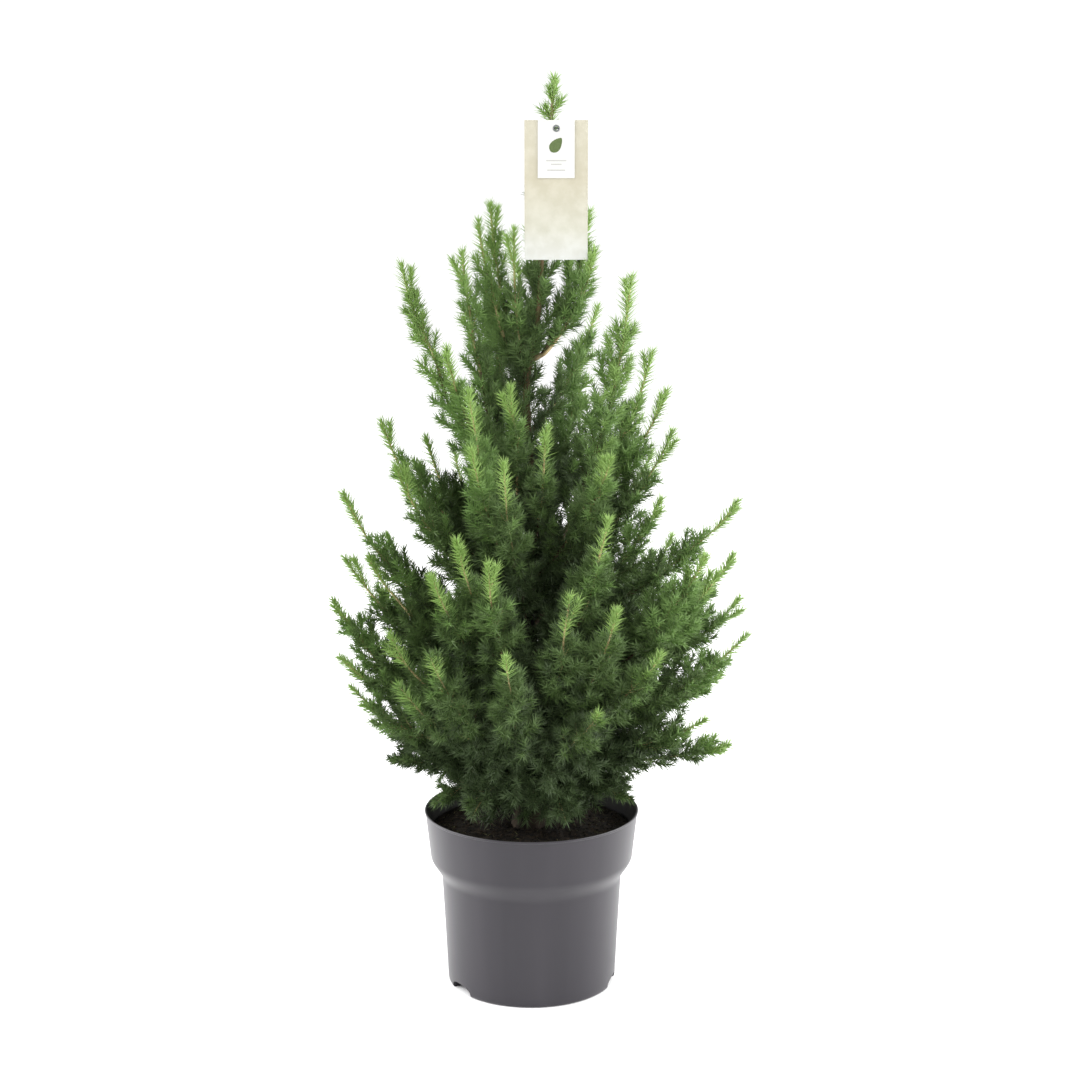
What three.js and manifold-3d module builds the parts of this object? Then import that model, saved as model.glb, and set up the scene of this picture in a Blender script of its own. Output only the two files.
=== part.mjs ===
// A dwarf Alberta spruce in a round nursery container, with a plain hang tag on its leader.
// Units are millimetres and +Z is up. The origin is the centre of the pot's flat underside.
// The front of the plant faces -Y. A bearing is in degrees round the pot's axis, 0 at the
// front and 90 at the right (+X).
import * as THREE from 'three';
import { mergeVertices } from 'three/addons/utils/BufferGeometryUtils.js';
import Module from 'manifold-3d';

const wasm = await Module();
wasm.setup();

// ---------------------------------------------------------------- driving dimensions

const GAP = 0.4; // clearance between pieces that touch
const RIM_GAP = 12; // from the rim's outer edge to foliage that hangs inside it
const FOLIAGE_GAP = 1.5; // clearance between neighbouring masses of foliage

const POT = {
  height: 159.5,
  rimRadius: 95,
  lipHeight: 2.5, // the lip's upright outer face
  lipSwell: 1.6, // how far the lip stands out from the collar
  lipThickness: 2.8,
  collarFoot: 112, // height of the collar's lower edge
  collarRadius: 88,
  shoulderFoot: 96, // height where the shoulder meets the wall
  wallRadius: 80,
  footRadius: 75,
  baseCorner: 3.5,
  thickness: 2,
  floor: 4, // the inner floor's height
  sides: 32,
};
const NOTCH = { width: 30, height: 8, depth: 7, bearings: [-58, 77, 122, 257] };

const SOIL = { top: 141.5, dome: 3, wallGap: 3.4, sides: 20 };

const TRUNK = {
  foot: SOIL.top + SOIL.dome + GAP,
  tip: 796,
  footRadius: 8.6,
  tipRadius: 1,
  taper: 0.6, // below 1, the trunk thins fastest near its foot
  flare: 5.5, // extra radius of the root flare at the soil
  flareHeight: 16,
  buttresses: 4,
  buttressDepth: 0.25, // as a share of the flare
  sides: 9,
  rings: 16,
};
// The trunk's wander: height, then how far it stands right of and behind the pot's axis.
const TRUNK_LINE = [
  [TRUNK.foot, 0.5, 0],
  [300, -2, 3],
  [470, -1, -2],
  [547, -5, 1],
  [600, 7, 0],
  [650, 8.5, -1],
  [TRUNK.tip, 19.6, 0],
];

// Masses of foliage. foot is the height at which the stem leaves the trunk, girth the radius
// of the mass at its fullest, and each tip is a bearing, a reach out from the pot's axis and a
// height. A mass with a bough starts further out, where that bough ends.
const MASSES = [
  // the open top of the crown
  { name: 'top_left', foot: 500, girth: 12, tips: [[-113, 38, 694], [-92, 45, 680], [-50, 19, 674]] },
  { name: 'top_right', foot: 562, girth: 14, bough: 15, tips: [[122, 60, 686], [80, 55, 656]] },
  { name: 'top_back', foot: 535, girth: 15, tips: [[172, 42, 676], [-165, 46, 640]] },
  { name: 'high_left', foot: 465, girth: 15, bough: 24, tips: [[-82, 59, 655]] },
  { name: 'high_far_left', foot: 425, girth: 14, tips: [[-92, 111, 643]] },
  { name: 'high_right', foot: 395, girth: 18, bough: 28, tips: [[60, 97, 637]] },
  { name: 'high_back_right', foot: 500, girth: 15, tips: [[140, 91, 600]] },
  { name: 'high_back_left', foot: 470, girth: 17, tips: [[-150, 80, 618]] },
  { name: 'high_front_left', foot: 445, girth: 17, bough: 26, tips: [[-50, 92, 579]] },
  // the middle of the crown, front
  { name: 'mid_front_left', foot: 350, girth: 20, tips: [[-27, 112, 548], [-23, 124, 502]] },
  { name: 'mid_front', foot: 400, girth: 16, tips: [[-13, 76, 548]] },
  { name: 'mid_front_centre', foot: 330, girth: 18, tips: [[-10, 127, 493]] },
  { name: 'mid_front_right', foot: 390, girth: 17, tips: [[8, 96, 517]] },
  { name: 'mid_right_front', foot: 370, girth: 20, tips: [[36, 112, 491]] },
  // the middle of the crown, right
  { name: 'mid_right_high', foot: 405, girth: 17, bough: 30, tips: [[96, 105, 567], [100, 120, 532]] },
  { name: 'mid_right', foot: 365, girth: 18, tips: [[95, 123, 498], [116, 119, 473]] },
  { name: 'mid_right_low', foot: 320, girth: 20, tips: [[61, 125, 451], [88, 179, 439]] },
  // the middle of the crown, left
  { name: 'mid_left_high', foot: 370, girth: 18, bough: 30, tips: [[-91, 130, 508]] },
  { name: 'mid_left_front', foot: 340, girth: 20, tips: [[-62, 129, 479]] },
  { name: 'mid_left_back', foot: 355, girth: 18, tips: [[-107, 108, 468], [-118, 106, 486]] },
  // the skirt, right
  { name: 'low_right_fan', foot: 260, girth: 27, bough: 34, tips: [[53, 181, 412], [62, 178, 392]] },
  { name: 'low_right', foot: 250, girth: 25, tips: [[99, 181, 384], [92, 183, 350]] },
  { name: 'low_right_edge', foot: 225, girth: 25, tips: [[82, 189, 325], [96, 170, 277]] },
  { name: 'low_right_under', foot: 200, girth: 23, tips: [[78, 155, 250], [92, 176, 216], [66, 96, 180]] },
  // the skirt, left
  { name: 'low_left_high', foot: 290, girth: 21, tips: [[-86, 163, 447]] },
  { name: 'low_left', foot: 255, girth: 26, tips: [[-93, 164, 386], [-82, 142, 392]] },
  { name: 'low_left_edge', foot: 225, girth: 26, bough: 34, tips: [[-90, 174, 350], [-83, 168, 303]] },
  {
    name: 'low_left_under',
    foot: 200,
    girth: 24,
    tips: [[-78, 160, 280], [-94, 140, 236], [-86, 126, 208], [-62, 96, 178]],
  },
  // the skirt, front
  { name: 'low_front_left', foot: 270, girth: 25, tips: [[-25, 144, 430], [-31, 156, 400]] },
  { name: 'low_front', foot: 235, girth: 26, tips: [[-13, 154, 414]] },
  { name: 'low_front_right', foot: 285, girth: 25, bough: 34, tips: [[27, 140, 446]] },
  { name: 'low_front_nose', foot: 200, girth: 27, tips: [[-7, 166, 340], [-32, 158, 335]] },
  { name: 'low_front_corner', foot: 220, girth: 26, tips: [[12, 153, 387], [27, 157, 372], [42, 161, 331]] },
  { name: 'low_left_corner', foot: 210, girth: 28, tips: [[-50, 154, 343], [-48, 150, 300]] },
  { name: 'low_front_under', foot: 208, girth: 30, tips: [[-34, 90, 176], [20, 88, 174], [22, 148, 285]] },
];

// The side away from the front follows one rule: rings of masses at the golden angle's
// spacing, each ring lower, wider and fuller than the last.
const BACK_RINGS = [
  { name: 'back_high', foot: 400, girth: 24, reach: 108, tip: 548, bearings: [155, 202] },
  { name: 'back_mid', foot: 320, girth: 31, reach: 136, tip: 470, bearings: [145, 212] },
  { name: 'back_low', foot: 245, girth: 37, reach: 162, tip: 385, bearings: [128, 180, 234] },
  { name: 'back_under', foot: 192, girth: 38, reach: 150, tip: 262, droop: 80, bearings: [150, 208] },
];

const MASS_START = 13; // how far from the trunk's centre a mass without a bough begins
const START_CLIMB = 0.25; // how much a stem rises on the way to where its mass begins
const STEM_BEND = { out: 0.72, up: 0.38 }; // the bend's place, as shares of the way to the tip
const FULLEST = 0.35; // the share of a stem at which its mass is fullest
const FOOT_FULLNESS = 0.62; // a mass's girth at its foot, against its fullest
const TIP_DRAW_IN = 0.62; // how much of its girth a mass loses towards its tip
const LEAST_RADIUS = 1.2; // of a mass, where its neighbours press on it
const UNEVEN = 0.2; // how far a mass's skin wanders, as a share of its radius
const NEXT_TIP_GIRTH = 0.1; // how much thinner each further tip of a mass is
const MASS_SIDES = 6;
const MASS_RINGS = 6;
const BOUGH = { footRadius: 3.6, tipRadius: 2.2, sides: 6, rings: 3 };

const LEADER = {
  foot: 598,
  bend: 710,
  tip: [20.2, 0, 804.5],
  girth: 11.5,
  uneven: 0.14,
  drawIn: 0.5, // how much of its girth it loses towards its tip
  sides: 7,
  rings: 10,
};

const TAG = {
  centre: 21.2, // right of the pot's axis
  top: 765.3,
  back: -15, // depth of the card's back face
  card: [53.4, 116.5, 0.7], // width, height, thickness
  ticket: [31, 48, 0.5],
  eyeletDrop: 6.8, // from the top edge to the eyelet's centre
  eyelet: 2.6, // the hole's radius
};
const LOOP = { thickness: 0.6, width: 13, front: -18.5, rear: 8, turns: 14, sides: 4 };

// ---------------------------------------------------------------- materials

const look = (colour, roughness) =>
  new THREE.MeshStandardMaterial({ color: colour, roughness, metalness: 0 });
const LOOKS = {
  pot: look(0x7b7a7e, 0.45),
  soil: look(0x1d1a17, 1),
  bark: look(0x7a6148, 0.9),
  card: look(0xe2dac6, 0.8),
  ticket: look(0xf7f6f1, 0.7),
  loop: look(0x43453f, 0.8),
  top: look(0x6f9f45, 0.7),
  middle: look(0x4f8038, 0.7),
  low: look(0x3f6b30, 0.7),
};

// ---------------------------------------------------------------- small helpers

// A point at a bearing and reach from the pot's axis, at a height.
function place(bearing, reach, height) {
  const angle = THREE.MathUtils.degToRad(bearing);
  return new THREE.Vector3(reach * Math.sin(angle), -reach * Math.cos(angle), height);
}

// Smooth steady unevenness between -1 and 1, different for every seed.
function wobble(a, b, seed) {
  const first = Math.sin(2.1 * a + 5.3 * b + 1.7 * seed);
  const second = Math.sin(3.7 * a - 9.1 * b + 3.1 * seed);
  return 0.6 * first + 0.4 * second;
}

// Halves the span again and again to find the last value for which a test still holds.
function lastThatHolds(low, high, steps, holds) {
  let [best, limit] = [low, high];
  for (let step = 0; step < steps; step += 1) {
    const middle = (best + limit) / 2;
    if (holds(middle)) best = middle;
    else limit = middle;
  }
  return best;
}

// A closed geometry as a manifold solid, ready to be cut or joined.
function solid(geometry) {
  const bare = geometry.clone();
  bare.deleteAttribute('normal');
  bare.deleteAttribute('uv');
  const merged = mergeVertices(bare, 1e-4);
  return new wasm.Manifold(new wasm.Mesh({
    numProp: 3,
    vertProperties: new Float32Array(merged.attributes.position.array),
    triVerts: new Uint32Array(merged.index.array),
  }));
}

// The largest piece of a solid, without the slivers a cut can leave.
function mainPiece(shape) {
  const pieces = shape.decompose();
  return pieces.reduce((best, piece) => (piece.volume() > best.volume() ? piece : best));
}

function toGeometry(shape) {
  const mesh = shape.getMesh();
  const geometry = new THREE.BufferGeometry();
  geometry.setAttribute('position', new THREE.BufferAttribute(new Float32Array(mesh.vertProperties), 3));
  geometry.setIndex(new THREE.BufferAttribute(new Uint32Array(mesh.triVerts), 1));
  geometry.computeVertexNormals();
  return geometry;
}

function named(name, geometry, material) {
  const mesh = new THREE.Mesh(geometry, material);
  mesh.name = name;
  return mesh;
}

// Moves each vertex of an upright unit cylinder to its place round a curve.
function limb(curve, radiusAt, sides, rings) {
  const geometry = new THREE.CylinderGeometry(1, 1, 1, sides, rings);
  const frames = curve.computeFrenetFrames(rings);
  const spots = geometry.attributes.position;
  for (let i = 0; i < spots.count; i += 1) {
    const ring = Math.round((0.5 - spots.getY(i)) * rings);
    const along = ring / rings;
    const centre = curve.getPointAt(along);
    const angle = Math.atan2(spots.getZ(i), spots.getX(i));
    const radius = radiusAt(along, angle);
    centre.addScaledVector(frames.normals[ring], radius * spots.getX(i));
    centre.addScaledVector(frames.binormals[ring], radius * spots.getZ(i));
    spots.setXYZ(i, centre.x, centre.y, centre.z);
  }
  return geometry;
}

// ---------------------------------------------------------------- pot and soil

// The container's outer and inner outline, from the axis under the floor round the rim and back.
function potOutline() {
  const { height, rimRadius, collarFoot, collarRadius, shoulderFoot, wallRadius, footRadius } = POT;
  const wall = POT.thickness;
  const lipFoot = height - POT.lipHeight;
  const shoulder = (collarFoot + shoulderFoot) / 2;
  return [
    [0, 0],
    [footRadius - 1, 0],
    [footRadius, POT.baseCorner],
    [wallRadius, shoulderFoot],
    [wallRadius + 1.2, shoulderFoot + 4],
    [(wallRadius + collarRadius) / 2 + 1, shoulder + 2],
    [collarRadius, collarFoot],
    [rimRadius - POT.lipSwell, lipFoot - 1],
    [rimRadius, lipFoot],
    [rimRadius, height],
    [rimRadius - POT.lipThickness, height],
    [collarRadius - wall, collarFoot],
    [wallRadius - wall, shoulderFoot],
    [footRadius - wall, POT.floor],
    [0, POT.floor],
  ].map(([radius, z]) => new THREE.Vector2(radius, z));
}

// A lathe turns about Y, so the turned shape is stood up along Z.
function turned(outline, sides) {
  return new THREE.LatheGeometry(outline, sides).rotateX(Math.PI / 2);
}

// An arched drain notch in the foot: a round-topped prism that crosses the wall.
function notchCutter(bearing) {
  const { width, height, depth } = NOTCH;
  const arch = new THREE.Shape();
  arch.moveTo(-width / 2, -1);
  arch.lineTo(width / 2, -1);
  arch.quadraticCurveTo(width / 2, height, width / 4, height);
  arch.lineTo(-width / 4, height);
  arch.quadraticCurveTo(-width / 2, height, -width / 2, -1);
  const settings = { depth: 2 * depth, bevelEnabled: false, curveSegments: 3 };
  const prism = new THREE.ExtrudeGeometry(arch, settings);
  prism.rotateX(Math.PI / 2);
  prism.translate(0, -POT.footRadius + depth, 0);
  prism.rotateZ(THREE.MathUtils.degToRad(bearing));
  return solid(prism);
}

function makePot() {
  let pot = solid(turned(potOutline(), POT.sides));
  for (const bearing of NOTCH.bearings) {
    pot = pot.subtract(notchCutter(bearing));
  }
  return named('pot', toGeometry(pot), LOOKS.pot);
}

function makeSoil() {
  const wall = POT.thickness + GAP;
  const underside = POT.floor + NOTCH.height;
  const collar = (SOIL.top - POT.collarFoot) / (POT.height - POT.collarFoot);
  const topRadius = THREE.MathUtils.lerp(POT.collarRadius, POT.rimRadius, collar) - wall - 2;
  const outline = [
    [0, underside],
    [POT.footRadius - wall, underside],
    [POT.wallRadius - wall - 0.6, POT.shoulderFoot],
    [POT.collarRadius - SOIL.wallGap, POT.collarFoot],
    [topRadius, SOIL.top - 2],
    [topRadius * 0.6, SOIL.top],
    [TRUNK.footRadius * 2.5, SOIL.top + SOIL.dome],
    [0, SOIL.top + SOIL.dome],
  ].map(([radius, z]) => new THREE.Vector2(radius, z));
  return named('potting_soil', turned(outline, SOIL.sides), LOOKS.soil);
}

// ---------------------------------------------------------------- trunk

const trunkCurve = new THREE.CatmullRomCurve3(
  TRUNK_LINE.map(([height, right, behind]) => new THREE.Vector3(right, behind, height)),
);

function trunkRadius(along, angle, extra = 0) {
  const climb = along * (TRUNK.tip - TRUNK.foot);
  const taper = THREE.MathUtils.lerp(TRUNK.footRadius, TRUNK.tipRadius, along ** TRUNK.taper);
  const flare = TRUNK.flare * Math.exp(-climb / TRUNK.flareHeight);
  const buttress = 1 + TRUNK.buttressDepth * Math.cos(TRUNK.buttresses * angle);
  return taper + flare * buttress + extra;
}

const trunkShape = (extra) =>
  limb(trunkCurve, (along, angle) => trunkRadius(along, angle, extra), TRUNK.sides, TRUNK.rings);

// The trunk's centre at a height.
function trunkAt(height) {
  const along = lastThatHolds(0, 1, 20, (share) => trunkCurve.getPointAt(share).z < height);
  return { along, centre: trunkCurve.getPointAt(along) };
}

// The trunk is cut flat, level with the soil.
function makeTrunk() {
  const block = new THREE.BoxGeometry(100, 100, 40).translate(0, 0, TRUNK.foot - 20);
  const trunk = solid(trunkShape(0)).subtract(solid(block));
  return named('trunk', toGeometry(trunk), LOOKS.bark);
}

// ---------------------------------------------------------------- stems and masses

// Where a mass begins: out from the trunk towards its first tip, past its bough if it has one.
function startOf(mass) {
  const { centre } = trunkAt(mass.foot);
  const outward = place(...mass.tips[0]).sub(centre).setZ(0).normalize();
  const start = mass.bough ?? MASS_START;
  const first = centre.clone().addScaledVector(outward, start);
  first.z = mass.foot + START_CLIMB * start;
  return first;
}

// A stem leaves that point outwards and bends up to its tip.
function stem(mass, tip) {
  const { centre } = trunkAt(mass.foot);
  const end = place(...tip);
  const bend = centre.clone().lerp(end, STEM_BEND.out);
  bend.z = mass.foot + STEM_BEND.up * (end.z - mass.foot);
  return new THREE.QuadraticBezierCurve3(startOf(mass), bend, end);
}

// Full in its middle third, drawn in at the foot and tapering to the tip.
function fullness(along) {
  if (along < FULLEST) {
    return THREE.MathUtils.lerp(FOOT_FULLNESS, 1, Math.sin((Math.PI / 2) * (along / FULLEST)));
  }
  const taper = (along - FULLEST) / (1 - FULLEST);
  return 1 - TIP_DRAW_IN * taper ** 1.15;
}

function makeLobe(mass, tip, girth, seed) {
  const curve = stem(mass, tip);
  const nodes = [];
  for (let ring = 0; ring <= MASS_RINGS; ring += 1) {
    const along = ring / MASS_RINGS;
    nodes.push({ point: curve.getPointAt(along), radius: girth * fullness(along) });
  }
  return { owner: mass.name, curve, nodes, seed };
}

// How far outside a chain of balls a point lies; negative inside.
function clearance(nodes, point) {
  let least = Infinity;
  const step = new THREE.Vector3();
  const offset = new THREE.Vector3();
  for (let i = 1; i < nodes.length; i += 1) {
    const a = nodes[i - 1];
    const b = nodes[i];
    step.subVectors(b.point, a.point);
    offset.subVectors(point, a.point);
    const along = THREE.MathUtils.clamp(offset.dot(step) / step.lengthSq(), 0, 1);
    const distance = offset.addScaledVector(step, -along).length();
    least = Math.min(least, distance - THREE.MathUtils.lerp(a.radius, b.radius, along));
  }
  return least;
}

// Foliage hangs into the pot's mouth but touches neither the rim nor the soil.
function clearOfPot(point) {
  const isOverRim = Math.hypot(point.x, point.y) > POT.rimRadius - RIM_GAP;
  return point.z > (isOverRim ? POT.height + 3 : SOIL.top + SOIL.dome + 5);
}

// A lobe's skin: each point goes outwards from the stem until it has its full girth, meets the
// half-way line to a neighbouring mass, or meets the wood.
function lobeShape(lobe, lobes, wood, gap) {
  const rivals = lobes.filter((other) => other.owner !== lobe.owner);
  const geometry = new THREE.SphereGeometry(1, MASS_SIDES, MASS_RINGS);
  const frames = lobe.curve.computeFrenetFrames(MASS_RINGS);
  const spots = geometry.attributes.position;
  const perRing = MASS_SIDES + 1;
  const isFree = (point) => {
    const own = clearance(lobe.nodes, point);
    return clearOfPot(point) && rivals.every((rival) => own + gap < clearance(rival.nodes, point))
      && wood.every((piece) => clearance(piece, point) > GAP + gap);
  };
  for (let i = 0; i < spots.count; i += 1) {
    const ring = Math.floor(i / perRing);
    const turn = (i % perRing) % MASS_SIDES;
    const angle = (turn / MASS_SIDES) * 2 * Math.PI;
    const centre = lobe.curve.getPointAt(ring / MASS_RINGS);
    const isPole = ring === 0 || ring === MASS_RINGS;
    if (!isPole) {
      const outward = new THREE.Vector3()
        .addScaledVector(frames.normals[ring], -Math.cos(angle))
        .addScaledVector(frames.binormals[ring], Math.sin(angle));
      const uneven = 1 + UNEVEN * wobble(angle, ring, lobe.seed);
      const wanted = lobe.nodes[ring].radius * uneven;
      const fits = (radius) => isFree(centre.clone().addScaledVector(outward, radius));
      const radius = fits(wanted) ? wanted : lastThatHolds(LEAST_RADIUS, wanted, 9, fits);
      centre.addScaledVector(outward, radius);
    }
    spots.setXYZ(i, centre.x, centre.y, centre.z);
  }
  return geometry;
}

const boughRadius = (along) => THREE.MathUtils.lerp(BOUGH.footRadius, BOUGH.tipRadius, along);

// A bough runs from inside the trunk to the point where its mass begins.
function boughCurve(mass) {
  const { along, centre } = trunkAt(mass.foot);
  const target = stem(mass, mass.tips[0]);
  const end = target.getPointAt(0);
  const heading = target.getTangentAt(0);
  end.addScaledVector(heading, -GAP);
  const outward = end.clone().sub(centre).setZ(0).normalize();
  const start = centre.clone().addScaledVector(outward, 0.5 * trunkRadius(along, 0));
  const bend = end.clone().addScaledVector(heading, -0.5 * start.distanceTo(end));
  return new THREE.QuadraticBezierCurve3(start, bend, end);
}

function makeBough(mass) {
  const shape = solid(limb(boughCurve(mass), boughRadius, BOUGH.sides, BOUGH.rings));
  const fitted = mainPiece(shape.subtract(solid(trunkShape(GAP))));
  return named(`bough_${mass.name}`, toGeometry(fitted), LOOKS.bark);
}

function chain(curve, radiusAt, rings) {
  const nodes = [];
  for (let ring = 0; ring <= rings; ring += 1) {
    nodes.push({ point: curve.getPointAt(ring / rings), radius: radiusAt(ring / rings) });
  }
  return nodes;
}

// ---------------------------------------------------------------- leader and tag

// The loop is a pear in plan: wide round the leader, narrow where it passes the eyelets.
function loopShape(extra) {
  const { turns, sides } = LOOP;
  const length = (LOOP.rear - LOOP.front) / 2;
  const ring = new THREE.TorusGeometry(1, 1, sides, turns);
  const spots = ring.attributes.position;
  for (let i = 0; i < spots.count; i += 1) {
    const angle = ((i % (turns + 1)) / turns) * 2 * Math.PI;
    const round = (Math.floor(i / (turns + 1)) / sides) * 2 * Math.PI;
    const thick = (LOOP.thickness + extra) * Math.cos(round);
    const width = LOOP.width * (0.5 + 0.5 * Math.sin(angle));
    const x = TAG.centre + (width + thick) * Math.cos(angle);
    const y = (LOOP.front + LOOP.rear) / 2 + (length + thick) * Math.sin(angle);
    const z = TAG.top - TAG.eyeletDrop + (LOOP.thickness + extra) * Math.sin(round);
    spots.setXYZ(i, x, y, z);
  }
  return ring;
}

function makeLoop() {
  return named('tag_loop', loopShape(0), LOOKS.loop);
}

function tagPanel(name, [width, height, thickness], back, material) {
  const outline = new THREE.Shape();
  const bottom = TAG.top - height;
  outline.moveTo(-width / 2, bottom);
  outline.lineTo(width / 2, bottom);
  outline.lineTo(width / 2, TAG.top);
  outline.lineTo(-width / 2, TAG.top);
  outline.closePath();
  const hole = new THREE.Path();
  hole.absarc(0, TAG.top - TAG.eyeletDrop, TAG.eyelet, 0, 2 * Math.PI, true);
  outline.holes.push(hole);
  const settings = { depth: thickness, bevelEnabled: false, curveSegments: 6 };
  const panel = new THREE.ExtrudeGeometry(outline, settings);
  panel.rotateX(Math.PI / 2);
  panel.translate(TAG.centre, back, 0);
  return named(name, panel, material);
}

// The leader's needles close round the trunk's top and the tag's loop.
function makeLeader() {
  const start = trunkAt(LEADER.foot).centre;
  const tip = new THREE.Vector3(...LEADER.tip);
  const curve = new THREE.QuadraticBezierCurve3(start, trunkAt(LEADER.bend).centre, tip);
  const geometry = new THREE.SphereGeometry(1, LEADER.sides, LEADER.rings);
  const spots = geometry.attributes.position;
  for (let i = 0; i < spots.count; i += 1) {
    const ring = Math.floor(i / (LEADER.sides + 1));
    const along = ring / LEADER.rings;
    const angle = ((i % (LEADER.sides + 1)) % LEADER.sides / LEADER.sides) * 2 * Math.PI;
    const isPole = ring === 0 || ring === LEADER.rings;
    const uneven = 1 + LEADER.uneven * wobble(angle, ring, 2.5);
    const radius = isPole ? 0 : LEADER.girth * uneven * (1 - LEADER.drawIn * along ** 3);
    const centre = curve.getPointAt(along);
    spots.setXYZ(i, centre.x - radius * Math.cos(angle), centre.y + radius * Math.sin(angle), centre.z);
  }
  return mainPiece(solid(geometry).subtract(solid(trunkShape(GAP))).subtract(solid(loopShape(GAP))));
}

// ---------------------------------------------------------------- assembly

function backMasses() {
  const masses = [];
  for (const ring of BACK_RINGS) {
    ring.bearings.forEach((bearing, index) => {
      const uneven = wobble(bearing, ring.foot, index);
      const tip = [bearing, ring.reach * (1 + 0.06 * uneven), ring.tip + 22 * uneven];
      const second = [bearing + 12, ring.reach * 0.93, ring.tip - 42 + 10 * uneven];
      const hanging = [bearing - 8, ring.reach * 0.64, ring.tip - ring.droop];
      masses.push({
        name: `${ring.name}_${index + 1}`,
        foot: ring.foot + 12 * uneven,
        girth: ring.girth,
        tips: ring.droop ? [tip, second, hanging] : [tip, second],
      });
    });
  }
  return masses;
}

function tierLook(mass) {
  if (mass.foot > 450) return LOOKS.top;
  return mass.foot > 300 ? LOOKS.middle : LOOKS.low;
}

function makeCrown() {
  const masses = [...MASSES, ...backMasses()];
  const withBoughs = masses.filter((mass) => mass.bough);
  const wood = withBoughs.map((mass) => chain(boughCurve(mass), boughRadius, 4));
  wood.push(chain(trunkCurve, (along) => trunkRadius(along, 0), 30));
  const lobes = masses.flatMap((mass, index) => mass.tips.map((tip, which) =>
    makeLobe(mass, tip, mass.girth * (1 - NEXT_TIP_GIRTH * which), index + 0.37 * which)));
  const shapeOf = (mass, gap) => lobes
    .filter((lobe) => lobe.owner === mass.name)
    .map((lobe) => solid(lobeShape(lobe, lobes, wood, gap)))
    .reduce((whole, piece) => whole.add(piece));
  const done = [makeLeader(), solid(loopShape(GAP)), solid(trunkShape(GAP))];
  const pieces = [named('foliage_leader', toGeometry(done[0]), LOOKS.top)];
  for (const mass of masses) {
    let shape = shapeOf(mass, FOLIAGE_GAP / 2);
    for (const other of done) {
      if (shape.intersect(other).volume() > 1e-3) shape = mainPiece(shape.subtract(other));
    }
    done.push(shape);
    pieces.push(named(`foliage_${mass.name}`, toGeometry(shape), tierLook(mass)));
  }
  return [...withBoughs.map(makeBough), ...pieces];
}

const plant = new THREE.Group();
const cardBack = TAG.back;
const ticketBack = cardBack - TAG.card[2] - GAP;
plant.add(makePot());
plant.add(makeSoil());
plant.add(makeTrunk());
plant.add(...makeCrown());
plant.add(tagPanel('tag_card', TAG.card, cardBack, LOOKS.card));
plant.add(tagPanel('tag_ticket', TAG.ticket, ticketBack, LOOKS.ticket));
plant.add(makeLoop());

export default plant;
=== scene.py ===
import math
import random

import bpy
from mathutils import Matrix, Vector, noise
from mathutils.bvhtree import BVHTree


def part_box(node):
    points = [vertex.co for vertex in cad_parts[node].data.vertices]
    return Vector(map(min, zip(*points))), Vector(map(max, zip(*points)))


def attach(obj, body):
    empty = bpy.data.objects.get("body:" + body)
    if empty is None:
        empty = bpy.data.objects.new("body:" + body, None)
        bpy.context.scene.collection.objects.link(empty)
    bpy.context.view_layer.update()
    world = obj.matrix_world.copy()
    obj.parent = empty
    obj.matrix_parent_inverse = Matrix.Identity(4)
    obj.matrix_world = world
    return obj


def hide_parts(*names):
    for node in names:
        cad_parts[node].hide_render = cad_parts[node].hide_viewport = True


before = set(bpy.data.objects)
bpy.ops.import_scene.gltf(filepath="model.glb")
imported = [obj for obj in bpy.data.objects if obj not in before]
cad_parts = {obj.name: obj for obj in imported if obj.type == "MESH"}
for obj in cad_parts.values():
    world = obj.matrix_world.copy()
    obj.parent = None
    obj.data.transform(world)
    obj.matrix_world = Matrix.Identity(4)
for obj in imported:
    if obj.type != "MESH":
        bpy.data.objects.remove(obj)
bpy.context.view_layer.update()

MM = 0.001
UP = Vector((0, 0, 1))
GOLDEN = math.radians(137.508)
SEED = 41
noise.seed_set(SEED)

# ------------------------------------------------------------------ the crown's sizes

NEEDLE_LENGTH = 12.5 * MM
NEEDLE_WIDTH = 1.15 * MM
NEEDLE_SPACING = 0.50 * MM
TIP_ZONE = 18 * MM  # the end of a shoot, where needles are shorter and lean forward
TIP_SHORTER = 0.30
BUD = 11 * MM  # the very end of a stem, where needles crowd
LEAN = 54  # degrees between a needle and its shoot
TIP_LEAN = 17  # how much less at the shoot's tip

STEM_RADIUS, SIDE_RADIUS, TWIG_RADIUS = 2.2 * MM, 0.8 * MM, 0.5 * MM  # each at its foot
STEM_STEPS = 24
STEM_WANDER = 5 * MM
BARE_FOOT = 0.08  # the share of a stem next to the trunk that carries no side shoots
SOFT_TIP = 58 * MM  # this season's growth at a stem's end, not branched yet
SOFT_LEAST = 0.30  # how much of it a level stem has
SOFT_STEEP = ((500 * MM, 600 * MM), (0.80, 0.60))  # how much longer steep ones are, by height
UNEVEN_STEP = (0.8, 1.25)  # how chance stretches the distance between two shoots

SIDE_STEP = 5.5 * MM
SIDE_ANGLE = (38, 54)  # degrees between a stem and its side shoots
SIDE_FORWARD = 20  # how much less it is for the first ones behind the tip
SIDE_FIRST = 20 * MM
SIDE_SHARE = 0.46  # a side shoot's length against its distance from the stem's tip
SIDE_LONGEST = 66 * MM
SIDE_LEAST = 14 * MM
TWIG_FIRST = 9 * MM
TWIG_STEP = 6 * MM
TWIG_ANGLE = (36, 52)
TWIG_LONGEST = 24 * MM
TWIG_LEAST = 4 * MM

TWIN_CHANCE = 0.70  # how many stems end in two tips
TWIN_GAP = (22, 34)  # millimetres from the second tip's foot to the stem's end
TWIN_ANGLE = 19  # degrees between the two tips
TWIN_SHARE = 0.82
TWIN_RADIUS = 0.9 * MM

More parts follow.
